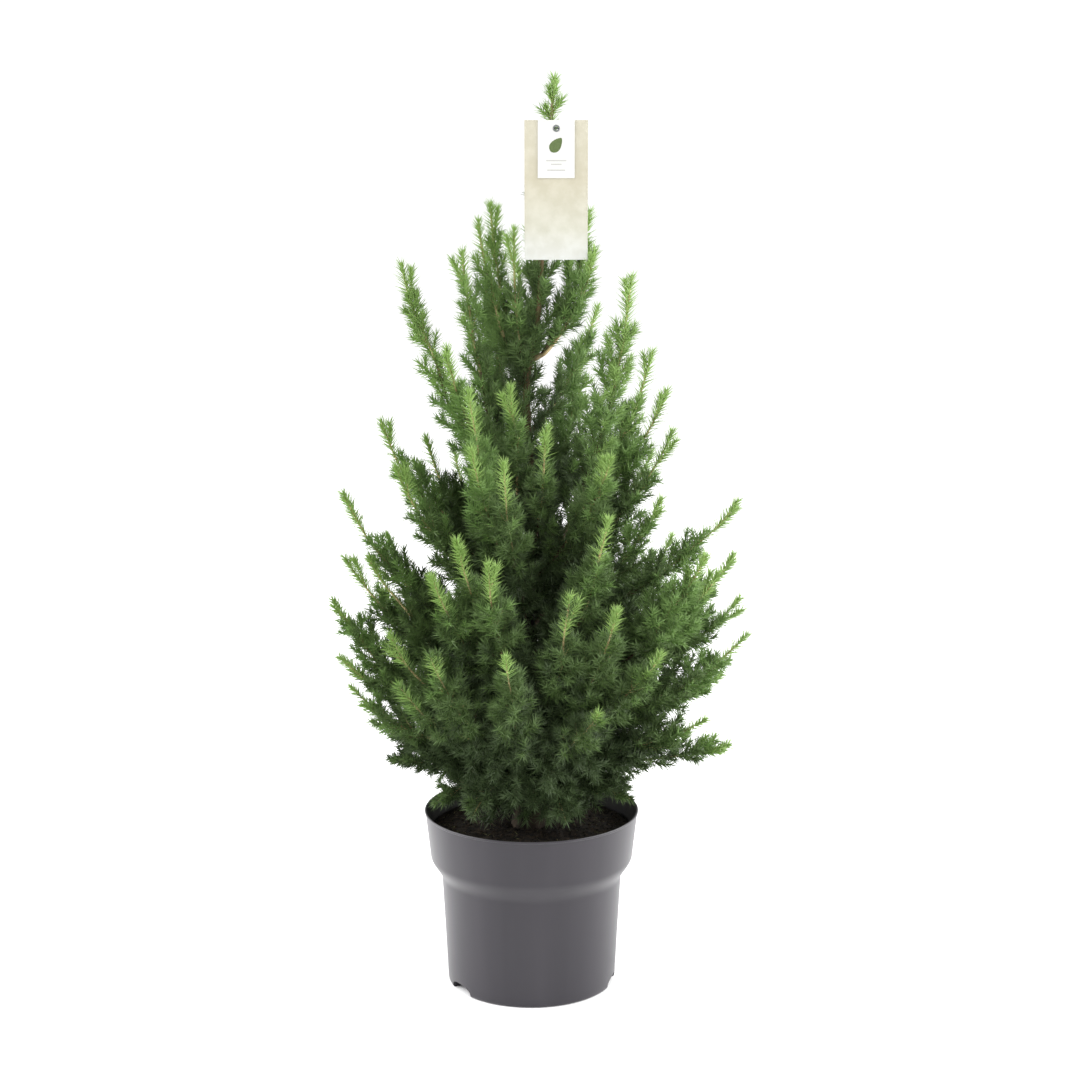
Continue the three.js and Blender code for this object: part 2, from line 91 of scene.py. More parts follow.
MAIN_SLIM = 0.55  # how slim a main stem's needles are behind its tip, so that its bark shows
PLUMP_TIP = 24 * MM  # the end of a main stem, where its needles are at their full width
SLIM_FROM = 58 * MM  # the distance from the tip at which they are slim
OPEN_FROM = 545 * MM  # above this height the inner side shoots stand further apart
OPEN_SPAN = 90 * MM
OPEN_TOP = 0.8  # how much further apart they are at the top
OPEN_BEHIND = 75 * MM  # how far behind a stem's tip that begins

HEART_FOOT = 22 * MM  # the height above the soil from which short shoots fill the crown's heart
HEART_TOP = 580 * MM
HEART_LONGEST = 52 * MM
HEART_SHORTER = 30 * MM  # how much shorter they are at the top
SKIRT_SHOOTS = 58  # drooping shoots at the trunk's foot
# Where the skirt's shoots start, how long they are and where they end, in millimetres: each
# is the lowest shoot's size and how much more the highest has. Heights are above the soil.
SKIRT_START, SKIRT_LENGTH, SKIRT_END = (28, 92), (45, 58), (10, 52)
INNER = 200 * MM  # how far from any tip the shoots inside the crown count as

LEADER_FOOT = 520 * MM  # where the trunk's own needles begin
LEADER_RADIUS = 1.2 * MM
LEADER_ANGLE = (26, 42)
LEADER_SIDE = 26 * MM  # the leader's longest side shoots
LEADER_STEP = 9 * MM
LEADER_END = 10 * MM  # how far from its ends the first and the last one stand
BESIDE_TAG = 22 * MM  # the longest side shoot beside the tag

FRESH_TIP = 44 * MM  # how much of a stem's end may have the palest tint
BRIGHT_TIP = 85 * MM  # and how much of it the next one
SIDE_BRIGHT = 40 * MM  # the same for side shoots, which are duller
FRESH_LIGHT, BRIGHT_LIGHT = 0.60, 0.58  # the least light for those two tints at a stem's end
# Further in, the lightest tint is painted light and the two darkest are painted shade.
SUNLIT, LEAFY_LIGHT, HALF_SHADE_LIGHT = 0.97, 0.66, 0.40  # the least light for a tint further in
LIGHT_CHANCE = 0.14  # how far chance moves the light that a tint goes by
OLD_WOOD = 105 * MM  # the distance from a tip at which a shoot's bark is old
OUTLINE_STEP = 30 * MM  # between two heights at which the crown's reach is known

# The light that height alone gives a spray, at heights in metres.
CLIMB_HEIGHTS = (0.15, 0.30, 0.45, 0.60, 0.75)
CLIMB_LIGHT = (-0.36, -0.17, 0.10, 0.42, 0.60)

# Tints, from this season's tips to the shade inside the crown. The palest is the new growth's own
# colour and the middle one the needles' own green; the second is partly new growth and partly
# painted light, and the two darkest are painted shade.
FRESH, BRIGHT, LEAFY, HALF_SHADE, SHADE = range(5)
TINTS = {
    FRESH: ("needle_fresh", (0.216, 0.338, 0.089)),
    BRIGHT: ("needle_bright", (0.180, 0.290, 0.077)),
    LEAFY: ("needle_leafy", (0.134, 0.228, 0.062)),
    # The last two tints are painted shade inside the crown.
    HALF_SHADE: ("needle_half_shade", (0.080, 0.132, 0.039)),
    SHADE: ("needle_shade", (0.043, 0.070, 0.024)),
}

# ------------------------------------------------------------------ the other sizes

TRUNK_SIDES = 26
TRUNK_LEVELS = 90
RING_APART = 8 * MM  # the least height between two rings of the trunk's CAD corners
TRUNK_STEP = 3.5 * MM
OLD_BARK_TOP = 360 * MM
YOUNG_BARK_FOOT = 600 * MM
BOUGH_SIDES = 12
BOUGH_STEPS = 26
BOUGH_FOOT, BOUGH_TIP = 3.7 * MM, 2.0 * MM  # a bough's radius at its two ends
TRUNK_SUNK = 4 * MM  # how far the trunk goes down into the soil
RIDGES, SCALES = 0.13, 0.08  # how high the bark's ridges and scales stand, against the radius

POT_SIDES = 168
WALL = 1.8 * MM
# The pot's outer wall from foot to lip: height and radius in millimetres.
FOOT_CORNER = ((0.0, 71.8), (0.3, 73.2), (1.0, 74.2), (2.0, 74.7), (3.5, 75.0))
LIP = ((157.2, 94.7), (157.8, 95.3), (158.8, 95.4), (159.4, 95.0), (159.5, 94.3), (159.2, 93.7))
SHOULDER_FOOT, SHOULDER_TOP = (97.0, 80.1), (119.0, 90.4)
SHOULDER_STEPS = 14
POT_FLOOR = 14.0
POT_FLOOR_EDGE = (POT_FLOOR, 70.0)
NOTCH_BEARINGS = (-58, 77, 122, 257)  # degrees round from the front, to the right
NOTCH_WIDTH, NOTCH_STRAIGHT, NOTCH_ARCH = 30.0, 3.2, 5.6
NOTCH_REACH = (46.0, 90.0)
NOTCH_STEPS = 16

SOIL_RINGS, SOIL_SIDES = 44, 120
SOIL_DOME = 3 * MM
SOIL_RELIEF = 2.4 * MM
SOIL_TAPER = 5 * MM
SOIL_UNDERSIDE = 128 * MM
CRUMBS = 72000.0  # to the square metre
LITTER = 16000.0
CRUMB_REACH = 0.97  # how near to the wall they lie

TAG_BOW = 0.9 * MM
TIE_WIDTH = 13 * MM
TIE_RADIUS = 0.65 * MM
EYELET_RADIUS = 2.3 * MM
EYELET_DROP = 6.8 * MM
TIE_STEPS = 64
EYELET_EDGE = 0.75 * MM  # the radius of the eyelet's rolled edge
EYELET_STEPS = 32
HOLE_REACH, HOLE_SIDES = 6 * MM, 24
LEAF_HALF, LEAF_TILT, LEAF_DROP, LEAF_STEPS = 7.2 * MM, 38, 20.5 * MM, 40
RULES = ((33.5, 17), (36.6, 9), (41.5, 15))  # each rule's drop from the top edge and its width
RULE_HEIGHT = 1.1 * MM
PRINT_RISE = (-0.05 * MM, 0.12 * MM)  # the print's back and front, against the ticket's front
TAG_CLEAR = 6 * MM  # how far forward the leader's shoots may reach behind the tag

EYE = (0.0076, -2.0068, 0.811)
LOOK_DOWN = 0.2002  # the camera's tilt below level, in radians
LENS, SENSOR = 78.15, 36.0
FLOOR_REACH = 6.0
BACKDROP_LIGHT = 1.08
# Soft lights: name, place, what it faces, width, height and power.
LIGHTS = (
    ("left", (-2.2, 0.1, 1.0), (0, 0, 0.3), 2.8, 2.0, 100),
    ("right", (2.2, 0.1, 1.0), (0, 0, 0.3), 2.8, 2.0, 100),
    ("above", (-0.2, -0.9, 2.7), (0, 0, 0.4), 2.0, 2.0, 24),
)


# ------------------------------------------------------------------ materials


class Nodes:
    """A node tree that is built one node at a time."""

    def add(self, kind, sockets=None, **settings):
        node = self.tree.nodes.new(kind)
        for name, value in settings.items():
            setattr(node, name, value)
        for key, value in (sockets or {}).items():
            if isinstance(value, bpy.types.NodeSocket):
                self.tree.links.new(value, node.inputs[key])
            else:
                node.inputs[key].default_value = value
        return node


class Look(Nodes):
    """A material on Object coordinates."""

    def __init__(self, name, colour, roughness=0.5, specular=0.4):
        self.material = bpy.data.materials.new(name)
        self.material.use_nodes = True
        self.tree = self.material.node_tree
        self.shader = self.tree.nodes["Principled BSDF"]
        self.shader.inputs["Base Color"].default_value = (*colour, 1)
        self.shader.inputs["Roughness"].default_value = roughness
        self.shader.inputs["Specular IOR Level"].default_value = specular

    def place(self, stretch=(1, 1, 1)):
        """Object coordinates, stretched along the axes."""
        spot = self.add("ShaderNodeTexCoord").outputs["Object"]
        return self.add("ShaderNodeMapping", {"Vector": spot, "Scale": stretch}).outputs[0]

    def climb(self, low, high):
        """How far up a place is, 0 at the low height and 1 at the high one."""
        height = self.add("ShaderNodeSeparateXYZ", {0: self.place()}).outputs[2]
        sockets = {"Value": height, "From Min": low, "From Max": high}
        return self.add("ShaderNodeMapRange", sockets).outputs[0]

    def grain(self, scale, detail=3.0, stretch=(1, 1, 1)):
        sockets = {"Vector": self.place(stretch), "Scale": scale, "Detail": detail}
        return self.add("ShaderNodeTexNoise", sockets).outputs[0]

    def cells(self, scale, stretch=(1, 1, 1)):
        sockets = {"Vector": self.place(stretch), "Scale": scale}
        return self.add("ShaderNodeTexVoronoi", sockets).outputs["Distance"]

    def ramp(self, value, *stops):
        node = self.add("ShaderNodeValToRGB", {0: value})
        points = node.color_ramp.elements
        while len(points) < len(stops):
            points.new(1.0)
        for point, (position, colour) in zip(points, stops):
            point.position = position
            point.color = (*colour, 1)
        return node.outputs[0]

    def mix(self, share, first, second, blend="MIX"):
        sockets = {"Factor": share, 6: first, 7: second}
        return self.add("ShaderNodeMix", sockets, data_type="RGBA", blend_type=blend).outputs[2]

    def coloured(self, colour):
        self.tree.links.new(colour, self.shader.inputs["Base Color"])

    def bumped(self, height, strength, distance):
        sockets = {"Strength": strength, "Distance": distance, "Height": height}
        bump = self.add("ShaderNodeBump", sockets)
        self.tree.links.new(bump.outputs[0], self.shader.inputs["Normal"])


def bark_material():
    """Bark with fissures and scales, grey-brown and flaky below and tan where it is young."""
    look = Look("bark_of_trunk", (0.10, 0.07, 0.045), 0.86, 0.2)
    fissures = look.grain(90.0, 5.0, (1, 1, 0.22))
    old = look.ramp(
        fissures,
        (0.30, (0.010, 0.008, 0.006)),
        (0.48, (0.028, 0.021, 0.015)),
        (0.70, (0.076, 0.056, 0.038)),
    )
    young = look.ramp(fissures, (0.32, (0.070, 0.048, 0.024)), (0.66, (0.200, 0.145, 0.080)))
    brown = look.mix(look.climb(OLD_BARK_TOP, YOUNG_BARK_FOOT), old, young)
    scales = look.ramp(look.cells(260.0, (1, 1, 0.5)), (0.1, (0.55, 0.5, 0.45)), (0.7, (1, 1, 1)))
    look.coloured(look.mix(1.0, brown, scales, "MULTIPLY"))
    look.bumped(look.grain(420.0, 4.0, (1, 1, 0.35)), 0.6, 0.6 * MM)
    return look.material


def pot_material():
    """Satin taupe plastic with faint upright streaks and a fine moulded grain."""
    look = Look("pot_plastic", (0.018, 0.017, 0.020), 0.42, 0.42)
    look.shader.inputs["Sheen Weight"].default_value = 0.16
    look.shader.inputs["Sheen Roughness"].default_value = 0.45
    streaks = look.grain(26.0, 3.0, (1, 1, 0.05))
    look.coloured(look.ramp(
        streaks,
        (0.30, (0.012, 0.010, 0.015)),
        (0.70, (0.020, 0.017, 0.023)),
    ))
    look.bumped(look.grain(900.0, 2.0), 0.08, 0.2 * MM)
    return look.material


def pot_inside_material():
    """The pot's inner wall, dusted with dry soil."""
    look = Look("pot_inside", (0.02, 0.019, 0.02), 0.6, 0.3)
    dust = look.grain(70.0, 4.0)
    look.coloured(look.ramp(dust, (0.4, (0.014, 0.014, 0.014)), (0.75, (0.040, 0.036, 0.032))))
    return look.material


def soil_material(name, dark, pale):
    """Damp peat: almost black, with brown fibre and a rough surface."""
    look = Look(name, dark, 0.95, 0.12)
    look.coloured(look.ramp(look.grain(240.0, 5.0), (0.42, dark), (0.72, pale)))
    look.bumped(look.grain(700.0, 4.0), 0.7, 0.8 * MM)
    return look.material


def card_material():
    """Mottled kraft card, beige above and fading to cream below."""
    look = Look("tag_card_paper", (0.6, 0.55, 0.45), 0.82, 0.2)
    low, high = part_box("tag_card")
    fade = look.ramp(
        look.climb(low.z, high.z),
        (0.03, (0.53, 0.54, 0.52)),
        (0.22, (0.47, 0.465, 0.40)),
        (0.57, (0.44, 0.415, 0.33)),
        (0.95, (0.465, 0.445, 0.365)),
    )
    mottle = look.ramp(look.grain(95.0, 5.0), (0.38, (0.90, 0.89, 0.86)), (0.66, (1, 1, 1)))
    look.coloured(look.mix(1.0, fade, mottle, "MULTIPLY"))
    look.bumped(look.grain(1300.0, 3.0), 0.12, 0.2 * MM)
    return look.material


def paper_material(name, colour, dim):
    """A faintly uneven colour, for paper, print and small parts."""
    look = Look(name, colour, 0.75, 0.25)
    shade = tuple(dim * value for value in colour)
    look.coloured(look.ramp(look.grain(600.0, 3.0), (0.35, shade), (0.65, colour)))
    return look.material


def plain_material(name, colour, roughness=0.55, specular=0.3):
    return Look(name, colour, roughness, specular).material


def flecked_material(name, dark, pale):
    """A colour flecked dark and pale, for thin shoots and fallen needles."""
    look = Look(name, pale, 0.75, 0.2)
    look.coloured(look.ramp(look.grain(300.0, 2.0), (0.35, dark), (0.65, pale)))
    return look.material


NEEDLES = [plain_material(name, colour) for name, colour in TINTS.values()]
YOUNG_BARK = flecked_material("young_bark", (0.26, 0.19, 0.09), (0.44, 0.36, 0.19))
OLD_BARK = flecked_material("old_bark", (0.050, 0.033, 0.020), (0.120, 0.080, 0.050))
BARK = bark_material()
POT = pot_material()
POT_INSIDE = pot_inside_material()
SOIL = soil_material("soil_peat", (0.0075, 0.0065, 0.0050), (0.030, 0.022, 0.014))
CRUMB = soil_material("soil_crumb", (0.0060, 0.0050, 0.0040), (0.045, 0.033, 0.021))
FALLEN = flecked_material("fallen_needles", (0.045, 0.050, 0.020), (0.110, 0.110, 0.045))
CARD = card_material()
TICKET = paper_material("ticket_paper", (0.56, 0.56, 0.54), 0.97)
LEAF_PRINT = paper_material("ticket_leaf", (0.092, 0.130, 0.048), 0.80)
GREY_PRINT = paper_material("ticket_rules", (0.40, 0.40, 0.38), 0.92)
TIE = paper_material("tag_tie", (0.055, 0.060, 0.055), 0.70)
EYELET = paper_material("tag_eyelet", (0.16, 0.17, 0.17), 0.80)


# ------------------------------------------------------------------ reading the frame


def loose_mesh(node):
    """A CAD node's corners, each once, and its triangles."""
    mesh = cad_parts[node].data
    corners, index, faces = [], {}, []
    spots = [tuple(round(value, 6) for value in vertex.co) for vertex in mesh.vertices]
    for spot in spots:
        if spot not in index:
            index[spot] = len(corners)
            corners.append(Vector(spot))
    for polygon in mesh.polygons:
        face = [index[spots[i]] for i in polygon.vertices]
        if len(set(face)) == 3:
            faces.append(face)
    return corners, faces


def middle(spots):
    return sum(spots, Vector()) / len(spots)


def trunk_rings():
    """The trunk's centres and radii, from the rings of corners of its CAD solid."""
    corners = sorted(loose_mesh("trunk")[0], key=lambda corner: corner.z)
    rings = [[corners[0]]]
    for corner in corners[1:]:
        if corner.z - rings[-1][-1].z > RING_APART:
            rings.append([])
        rings[-1].append(corner)
    centres = [middle(ring) for ring in rings]
    radii = [max((spot - centre).length for spot in ring) for ring, centre in zip(rings, centres)]
    return centres, radii


def eased(levels, rounds):
    """Averages each level with its neighbours, so that a measured line has no kinks."""
    for _ in range(rounds):
        inner = [(a + b + c) / 3 for a, b, c in zip(levels, levels[1:], levels[2:])]
        levels = [levels[0], *inner, levels[-1]]
    return levels


def between(keys, values, key):
    """The value at a key, between the two known values beside it."""
    if key <= keys[0]:
        return values[0]
    for a, b, low, high in zip(keys, keys[1:], values, values[1:]):
        if key <= b:
            return low + (high - low) * ((key - a) / (b - a))
    return values[-1]


RING_CENTRES, RING_RADII = trunk_rings()
RING_HEIGHTS = [centre.z for centre in RING_CENTRES]
TRUNK_FOOT, TRUNK_TOP = RING_HEIGHTS[0], RING_HEIGHTS[-1]
LEVELS = [
    TRUNK_FOOT + (TRUNK_TOP - TRUNK_FOOT) * step / TRUNK_LEVELS for step in range(TRUNK_LEVELS + 1)
]
TRUNK_LINE = eased([between(RING_HEIGHTS, RING_CENTRES, height) for height in LEVELS], 4)


def trunk_at(height):
    return between(LEVELS, TRUNK_LINE, height).copy()


class Mass:
    """One CAD mass of foliage: its walls, where its stems start and the tips they reach."""

    def __init__(self, node):
        self.node = node
        corners, faces = loose_mesh(node)
        self.walls = BVHTree.FromPolygons(corners, faces)
        root = min(corners, key=lambda corner: (corner - trunk_at(corner.z)).length)
        reach = [(corner - root).length for corner in corners]
        friends = [set() for _ in corners]
        for a, b, c in faces:
            friends[a].update((b, c))
            friends[b].update((a, c))
            friends[c].update((a, b))
        furthest = max(reach)
        self.tips = [
            corners[i]
            for i in range(len(corners))
            if reach[i] > 0.5 * furthest and all(reach[i] > reach[j] for j in friends[i])
        ]
        self.bough = bough_line(node.replace("foliage", "bough"), root)
        self.foot = self.bough[-1] if self.bough else trunk_at(root.z - 6 * MM)

    def room(self, start, heading):
        """How far a shoot may go from a point before it leaves the mass."""
        hit = self.walls.ray_cast(start, heading)
        return hit[3] if hit[0] is not None else 0.0


def open_air(start, heading):
    """Stands in for a mass's room where shoots may go as far as they like."""
    return 1.0


def bough_line(node, root):
    """A bough's line from the trunk's heart to its mass, or None if it has none."""
    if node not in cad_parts:
        return None
    corners = loose_mesh(node)[0]
    by_root = sorted(corners, key=lambda corner: (corner - root).length)
    far = middle(by_root[:6])
    foot = middle(by_root[-6:])
    halfway = middle(by_root[6:-6] or corners)
    start = trunk_at(foot.z - 5 * MM)
    bend = halfway * 2 - (foot + far) / 2
    return [start, *bezier(foot, bend, far, BOUGH_STEPS)]


def bezier(start, bend, end, count):
    line = []
    for i in range(count + 1):
        t = i / count
        line.append(start * (1 - t) ** 2 + bend * 2 * t * (1 - t) + end * t * t)
    return line


MASSES = [Mass(node) for node in sorted(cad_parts) if node.startswith("foliage")]
CROWN = [mass for mass in MASSES if mass.node != "foliage_leader"]


def crown_reach():
    """The crown's outline: how far it reaches from the trunk at even heights."""
    spots = [corner for mass in CROWN for corner in loose_mesh(mass.node)[0]]
    levels = {}
    for spot in spots:
        level = round(spot.z / OUTLINE_STEP)
        reach = (spot - trunk_at(spot.z)).length
        levels[level] = max(levels.get(level, 0.0), reach)
    return levels


REACH = crown_reach()
TAG_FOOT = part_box("tag_card")[0].z


def exposure(spot):
    """About 0 beside the trunk and low down, 1 and more at the outline and high up: the light
    painted into a spray's tint.
    """
    level = round(spot.z / OUTLINE_STEP)
    edge = REACH.get(level) or REACH.get(level + 1) or REACH.get(level - 1) or 30 * MM
    share = min(1.0, (spot - trunk_at(spot.z)).length / edge)
    # Painted light: the left and right sides, which face the lamps, count as lighter.
    sunny = abs(spot.x) / edge
    return 0.80 * share + 0.20 * sunny + between(CLIMB_HEIGHTS, CLIMB_LIGHT, spot.z)


# ------------------------------------------------------------------ the branching rule


class Shoots:
    """Lines of points with what grows on them, gathered for one piece."""

    def __init__(self):
        self.spots, self.edges = [], []
        labels = ("needle", "slim", "lean", "tint", "thickness", "age")
        self.facts = {label: [] for label in labels}

    def add(self, line, *facts):
        first = len(self.spots)
        count = len(line)
        self.spots += line
        self.edges += [(first + i, first + i + 1) for i in range(count - 1)]
        for known, values in zip(self.facts.values(), facts):
            known += values

    def mesh(self, name):
        mesh = bpy.data.meshes.new(name)
        mesh.from_pydata([tuple(spot) for spot in self.spots], self.edges, [])
        for label, values in self.facts.items():
            fact = mesh.attributes.new(label, "FLOAT", "POINT")
            fact.data.foreach_set("value", values)
        return bpy.data.objects.new(name, mesh)


def side_axes(tangent):
    across = tangent.cross(UP)
    if across.length < 1e-4:
        across = Vector((1, 0, 0))
    across.normalize()
    return across, tangent.cross(across).normalized()


def spread(tangent, roll, angle, lift):
    """A heading that leaves a shoot at an angle, rolled round it and lifted to the light."""
    across, over = side_axes(tangent)
    outward = across * math.cos(roll) + over * math.sin(roll)
    heading = tangent * math.cos(angle) + outward * math.sin(angle)
    return (heading + UP * lift).normalized()


def curved(start, heading, length, lift, count):
    """A shoot that sets out along a heading and bends upwards as it grows."""
    return [
        start + heading * (length * i / count) + UP * (lift * length * (i / count) ** 2)
        for i in range(count + 1)
    ]


def measure(line):
    """The distance from each point of a line to its end."""
    left = [0.0]
    for a, b in zip(reversed(line[:-1]), reversed(line[1:])):
        left.append(left[-1] + (b - a).length)
    return left[::-1]


def at_distance(line, left, distance):
    """The point and direction on a line at a distance back from its end."""
    for i in range(len(line) - 1):
        if left[i] >= distance >= left[i + 1]:
            share = (left[i] - distance) / max(left[i] - left[i + 1], 1e-9)
            return line[i].lerp(line[i + 1], share), (line[i + 1] - line[i]).normalized()
    return line[0].copy(), (line[1] - line[0]).normalized()


def tint_of(spot, from_tip, rank, draw):
    """A spray's tint: fresh at the ends of stems, with painted light on the crown's outside, sides
    and top, and painted shade inside it.
    """
    light = exposure(spot) + LIGHT_CHANCE * draw.uniform(-1, 1)
    if from_tip < FRESH_TIP and rank == 0 and light > FRESH_LIGHT:
        return FRESH
    if from_tip < (SIDE_BRIGHT if rank else BRIGHT_TIP) and light > BRIGHT_LIGHT:
        return BRIGHT
    if light > SUNLIT:
        return BRIGHT
    if light > LEAFY_LIGHT:
        return LEAFY
    return HALF_SHADE if light > HALF_SHADE_LIGHT else SHADE


def clothe(shoots, line, rank, radius, tip_gap, draw, bare=0.0):
    """Adds a line with its needles, which are shorter and lean forward at its tip.

    The rank is 0 for a stem, 1 for a side shoot and 2 for a twig.
    """
    left = measure(line)
    total = left[0]
    needle, slim, lean, tint, thickness, age = [], [], [], [], [], []
    dealt = tint_of(line[-1], tip_gap, rank, draw)
    for spot, rest in zip(line, left):
        near_tip = max(0.0, 1 - rest / TIP_ZONE)
        needled = total - rest >= bare * total
        needle.append(1 - TIP_SHORTER * near_tip if needled else 0.0)
        plump = between((PLUMP_TIP, SLIM_FROM), (1.0, MAIN_SLIM), rest)
        slim.append(plump if rank == 0 else 1.0)
        lean.append(math.radians(LEAN - TIP_LEAN * near_tip))
        tint.append(tint_of(spot, tip_gap + rest, rank, draw) if rank == 0 else dealt)
        thickness.append(radius * (0.3 + 0.7 * rest / total))
        age.append(1.0 if tip_gap + rest > OLD_WOOD else 0.0)
    shoots.add(line, needle, slim, lean, tint, thickness, age)
    if rank < 2 and tip_gap < SOFT_TIP:
        crowd_tip(shoots, line, tint[-1])


def crowd_tip(shoots, line, tint):
    """Doubles the needles at a stem's end, which makes the tip blunt and full."""
    left = measure(line)
    spot, tangent = at_distance(line, left, min(BUD, 0.5 * left[0]))
    near = (line[-1] - spot).length
    shift = side_axes(tangent)[0] * (0.5 * MM)
    bud = [spot + shift, spot.lerp(line[-1], 0.5) + shift, line[-1] - shift]
    needle = [1 - TIP_SHORTER * (1 - near / TIP_ZONE * share) for share in (1.0, 0.5, 0.0)]
    lean = [math.radians(LEAN - TIP_LEAN * share) for share in (0.4, 0.7, 1.0)]
    shoots.add(bud, needle, [1.0] * 3, lean, [tint] * 3, [0.3 * MM] * 3, [0.0] * 3)


def grow_side(shoots, room, start, heading, length, tip_gap, draw, lift=0.16):
    """A side shoot and the twigs on it, shorter towards its own tip."""
    line = curved(start, heading, length, lift, 4)
    clothe(shoots, line, 1, SIDE_RADIUS, tip_gap, draw)
    left = measure(line)
    roll = draw.uniform(0, math.tau)
    distance = TWIG_FIRST
    while distance < length * 0.85:
        spot, tangent = at_distance(line, left, distance)
        roll += GOLDEN
        turned = spread(tangent, roll, math.radians(draw.uniform(*TWIG_ANGLE)), 0.12)
        wanted = min(TWIG_LONGEST, 5 * MM + 0.5 * distance) * draw.uniform(0.75, 1.15)
        reach = min(wanted, room(spot, turned) + 2 * MM)
        if reach > TWIG_LEAST:
            twig = curved(spot, turned, reach, 0.12, 2)
            clothe(shoots, twig, 2, TWIG_RADIUS, tip_gap + distance, draw)
        distance += TWIG_STEP * draw.uniform(*UNEVEN_STEP)


def grow_twin(shoots, line, left, draw):
    """A second tip beside a stem's own, a little shorter."""
    distance = draw.uniform(*TWIN_GAP) * MM
    spot, tangent = at_distance(line, left, distance)
    heading = spread(tangent, draw.uniform(0, math.tau), math.radians(TWIN_ANGLE), 0.06)
    twin = curved(spot, heading, TWIN_SHARE * distance, 0.05, 6)
    clothe(shoots, twin, 0, TWIN_RADIUS, 4 * MM, draw)


def openness(spot, distance):
    """How much further apart side shoots stand, 1 for no further."""
    climb = max(0.0, min(1.0, (spot.z - OPEN_FROM) / OPEN_SPAN))
    return 1 + OPEN_TOP * climb if distance > OPEN_BEHIND else 1.0


def grow_stem(shoots, mass, line, draw):
    """A stem with its needles and side shoots, kept within its mass."""
    clothe(shoots, line, 0, STEM_RADIUS, 0.0, draw, bare=BARE_FOOT)
    left = measure(line)
    total = left[0]
    if draw.random() < TWIN_CHANCE:
        grow_twin(shoots, line, left, draw)
    roll = draw.uniform(0, math.tau)
    steep = max(0.0, (line[-1] - line[-2]).normalized().z)
    steeper = between(*SOFT_STEEP, line[-1].z)
    distance = SOFT_TIP * (SOFT_LEAST + steeper * steep * steep) * draw.uniform(0.75, 1.25)
    first = distance
    while distance < total * (1 - BARE_FOOT):
        spot, tangent = at_distance(line, left, distance)
        roll += GOLDEN
        forward = SIDE_FORWARD * math.exp(-(distance - first) / (55 * MM))
        angle = draw.uniform(*SIDE_ANGLE) - forward
        heading = spread(tangent, roll, math.radians(angle), 0.14)
        wanted = min(SIDE_LONGEST, SIDE_FIRST + SIDE_SHARE * (distance - first))
        wanted *= draw.uniform(0.8, 1.2)
        length = min(wanted, max(1.2 * mass.room(spot, heading), SIDE_LEAST))
        grow_side(shoots, mass.room, spot, heading, length, distance, draw)
        distance += SIDE_STEP * openness(spot, distance) * draw.uniform(*UNEVEN_STEP)


def grow_heart(shoots, draw):
    """Short shoots straight off the trunk, which fill the heart of the crown."""
    height = TRUNK_FOOT + HEART_FOOT
    roll = 0.0
    while height < HEART_TOP:
        roll += GOLDEN
        share = (height - TRUNK_FOOT) / (HEART_TOP - TRUNK_FOOT)
        heading = Vector((math.cos(roll), math.sin(roll), 0.35 + 0.9 * share)).normalized()
        length = draw.uniform(0.7, 1.1) * (HEART_LONGEST - HEART_SHORTER * share)
        grow_side(shoots, open_air, trunk_at(height), heading, length, INNER, draw)
        height += SIDE_STEP * draw.uniform(0.7, 1.3)


def graded(sizes, share):
    """A size that grows evenly from the first shoot to the last."""
    first, more = sizes
    return (first + more * share) * MM


def grow_skirt(shoots, draw):
    """Drooping shoots round the trunk's foot, which hang into the pot's mouth."""
    roll = 0.4
    for place in range(SKIRT_SHOOTS):
        roll += GOLDEN
        share = place / SKIRT_SHOOTS
        start = trunk_at(TRUNK_FOOT + graded(SKIRT_START, share))
        heading = Vector((math.cos(roll), math.sin(roll), 0.15)).normalized()
        length = graded(SKIRT_LENGTH, share) * draw.uniform(0.85, 1.1)
        end = TRUNK_FOOT + graded(SKIRT_END, share) * draw.uniform(0.8, 1.25)
        lift = (end - start.z) / length - heading.z
        grow_side(shoots, open_air, start, heading, length, INNER, draw, lift)


def grow_leader(shoots, draw):
    """The leader carries needles and short upswept shoots all the way to the tip."""
    tip = TRUNK_LINE[-1].copy()
    tip.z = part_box("foliage_leader")[1].z - 5 * MM
    line = [spot for spot in TRUNK_LINE if spot.z > LEADER_FOOT] + [tip]
    clothe(shoots, line, 0, LEADER_RADIUS, 0.0, draw)
    left = measure(line)
    roll = 0.6
    distance = LEADER_END
    while distance < left[0] - LEADER_END:
        spot, tangent = at_distance(line, left, distance)
        roll += GOLDEN
        heading = spread(tangent, roll, math.radians(draw.uniform(*LEADER_ANGLE)), 0.1)
        length = min(9 * MM + 0.13 * distance, LEADER_SIDE) * draw.uniform(0.8, 1.15)
        if spot.z > TAG_FOOT - length:
            length = min(length, BESIDE_TAG)
            if heading.y < 0:
                length = min(length, TAG_CLEAR / -heading.y)
        grow_side(shoots, open_air, spot, heading, length, distance, draw)
        distance += LEADER_STEP * draw.uniform(*UNEVEN_STEP)


def stem_line(mass, tip, draw):
    """A stem leaves the trunk or its bough outwards and bends up to the tip."""
    bend = mass.foot.lerp(tip, 0.72)
    bend.z = mass.foot.z + 0.38 * (tip.z - mass.foot.z)
    line = bezier(mass.foot, bend, tip, STEM_STEPS)
    shift = Vector((draw.uniform(0, 50), draw.uniform(0, 50), draw.uniform(0, 50)))
    for i in range(1, len(line) - 1):
        share = math.sin(math.pi * i / (len(line) - 1))
        line[i] += noise.noise_vector(shift + line[i] * 18) * (STEM_WANDER * share)
    return line


# ------------------------------------------------------------------ geometry node trees


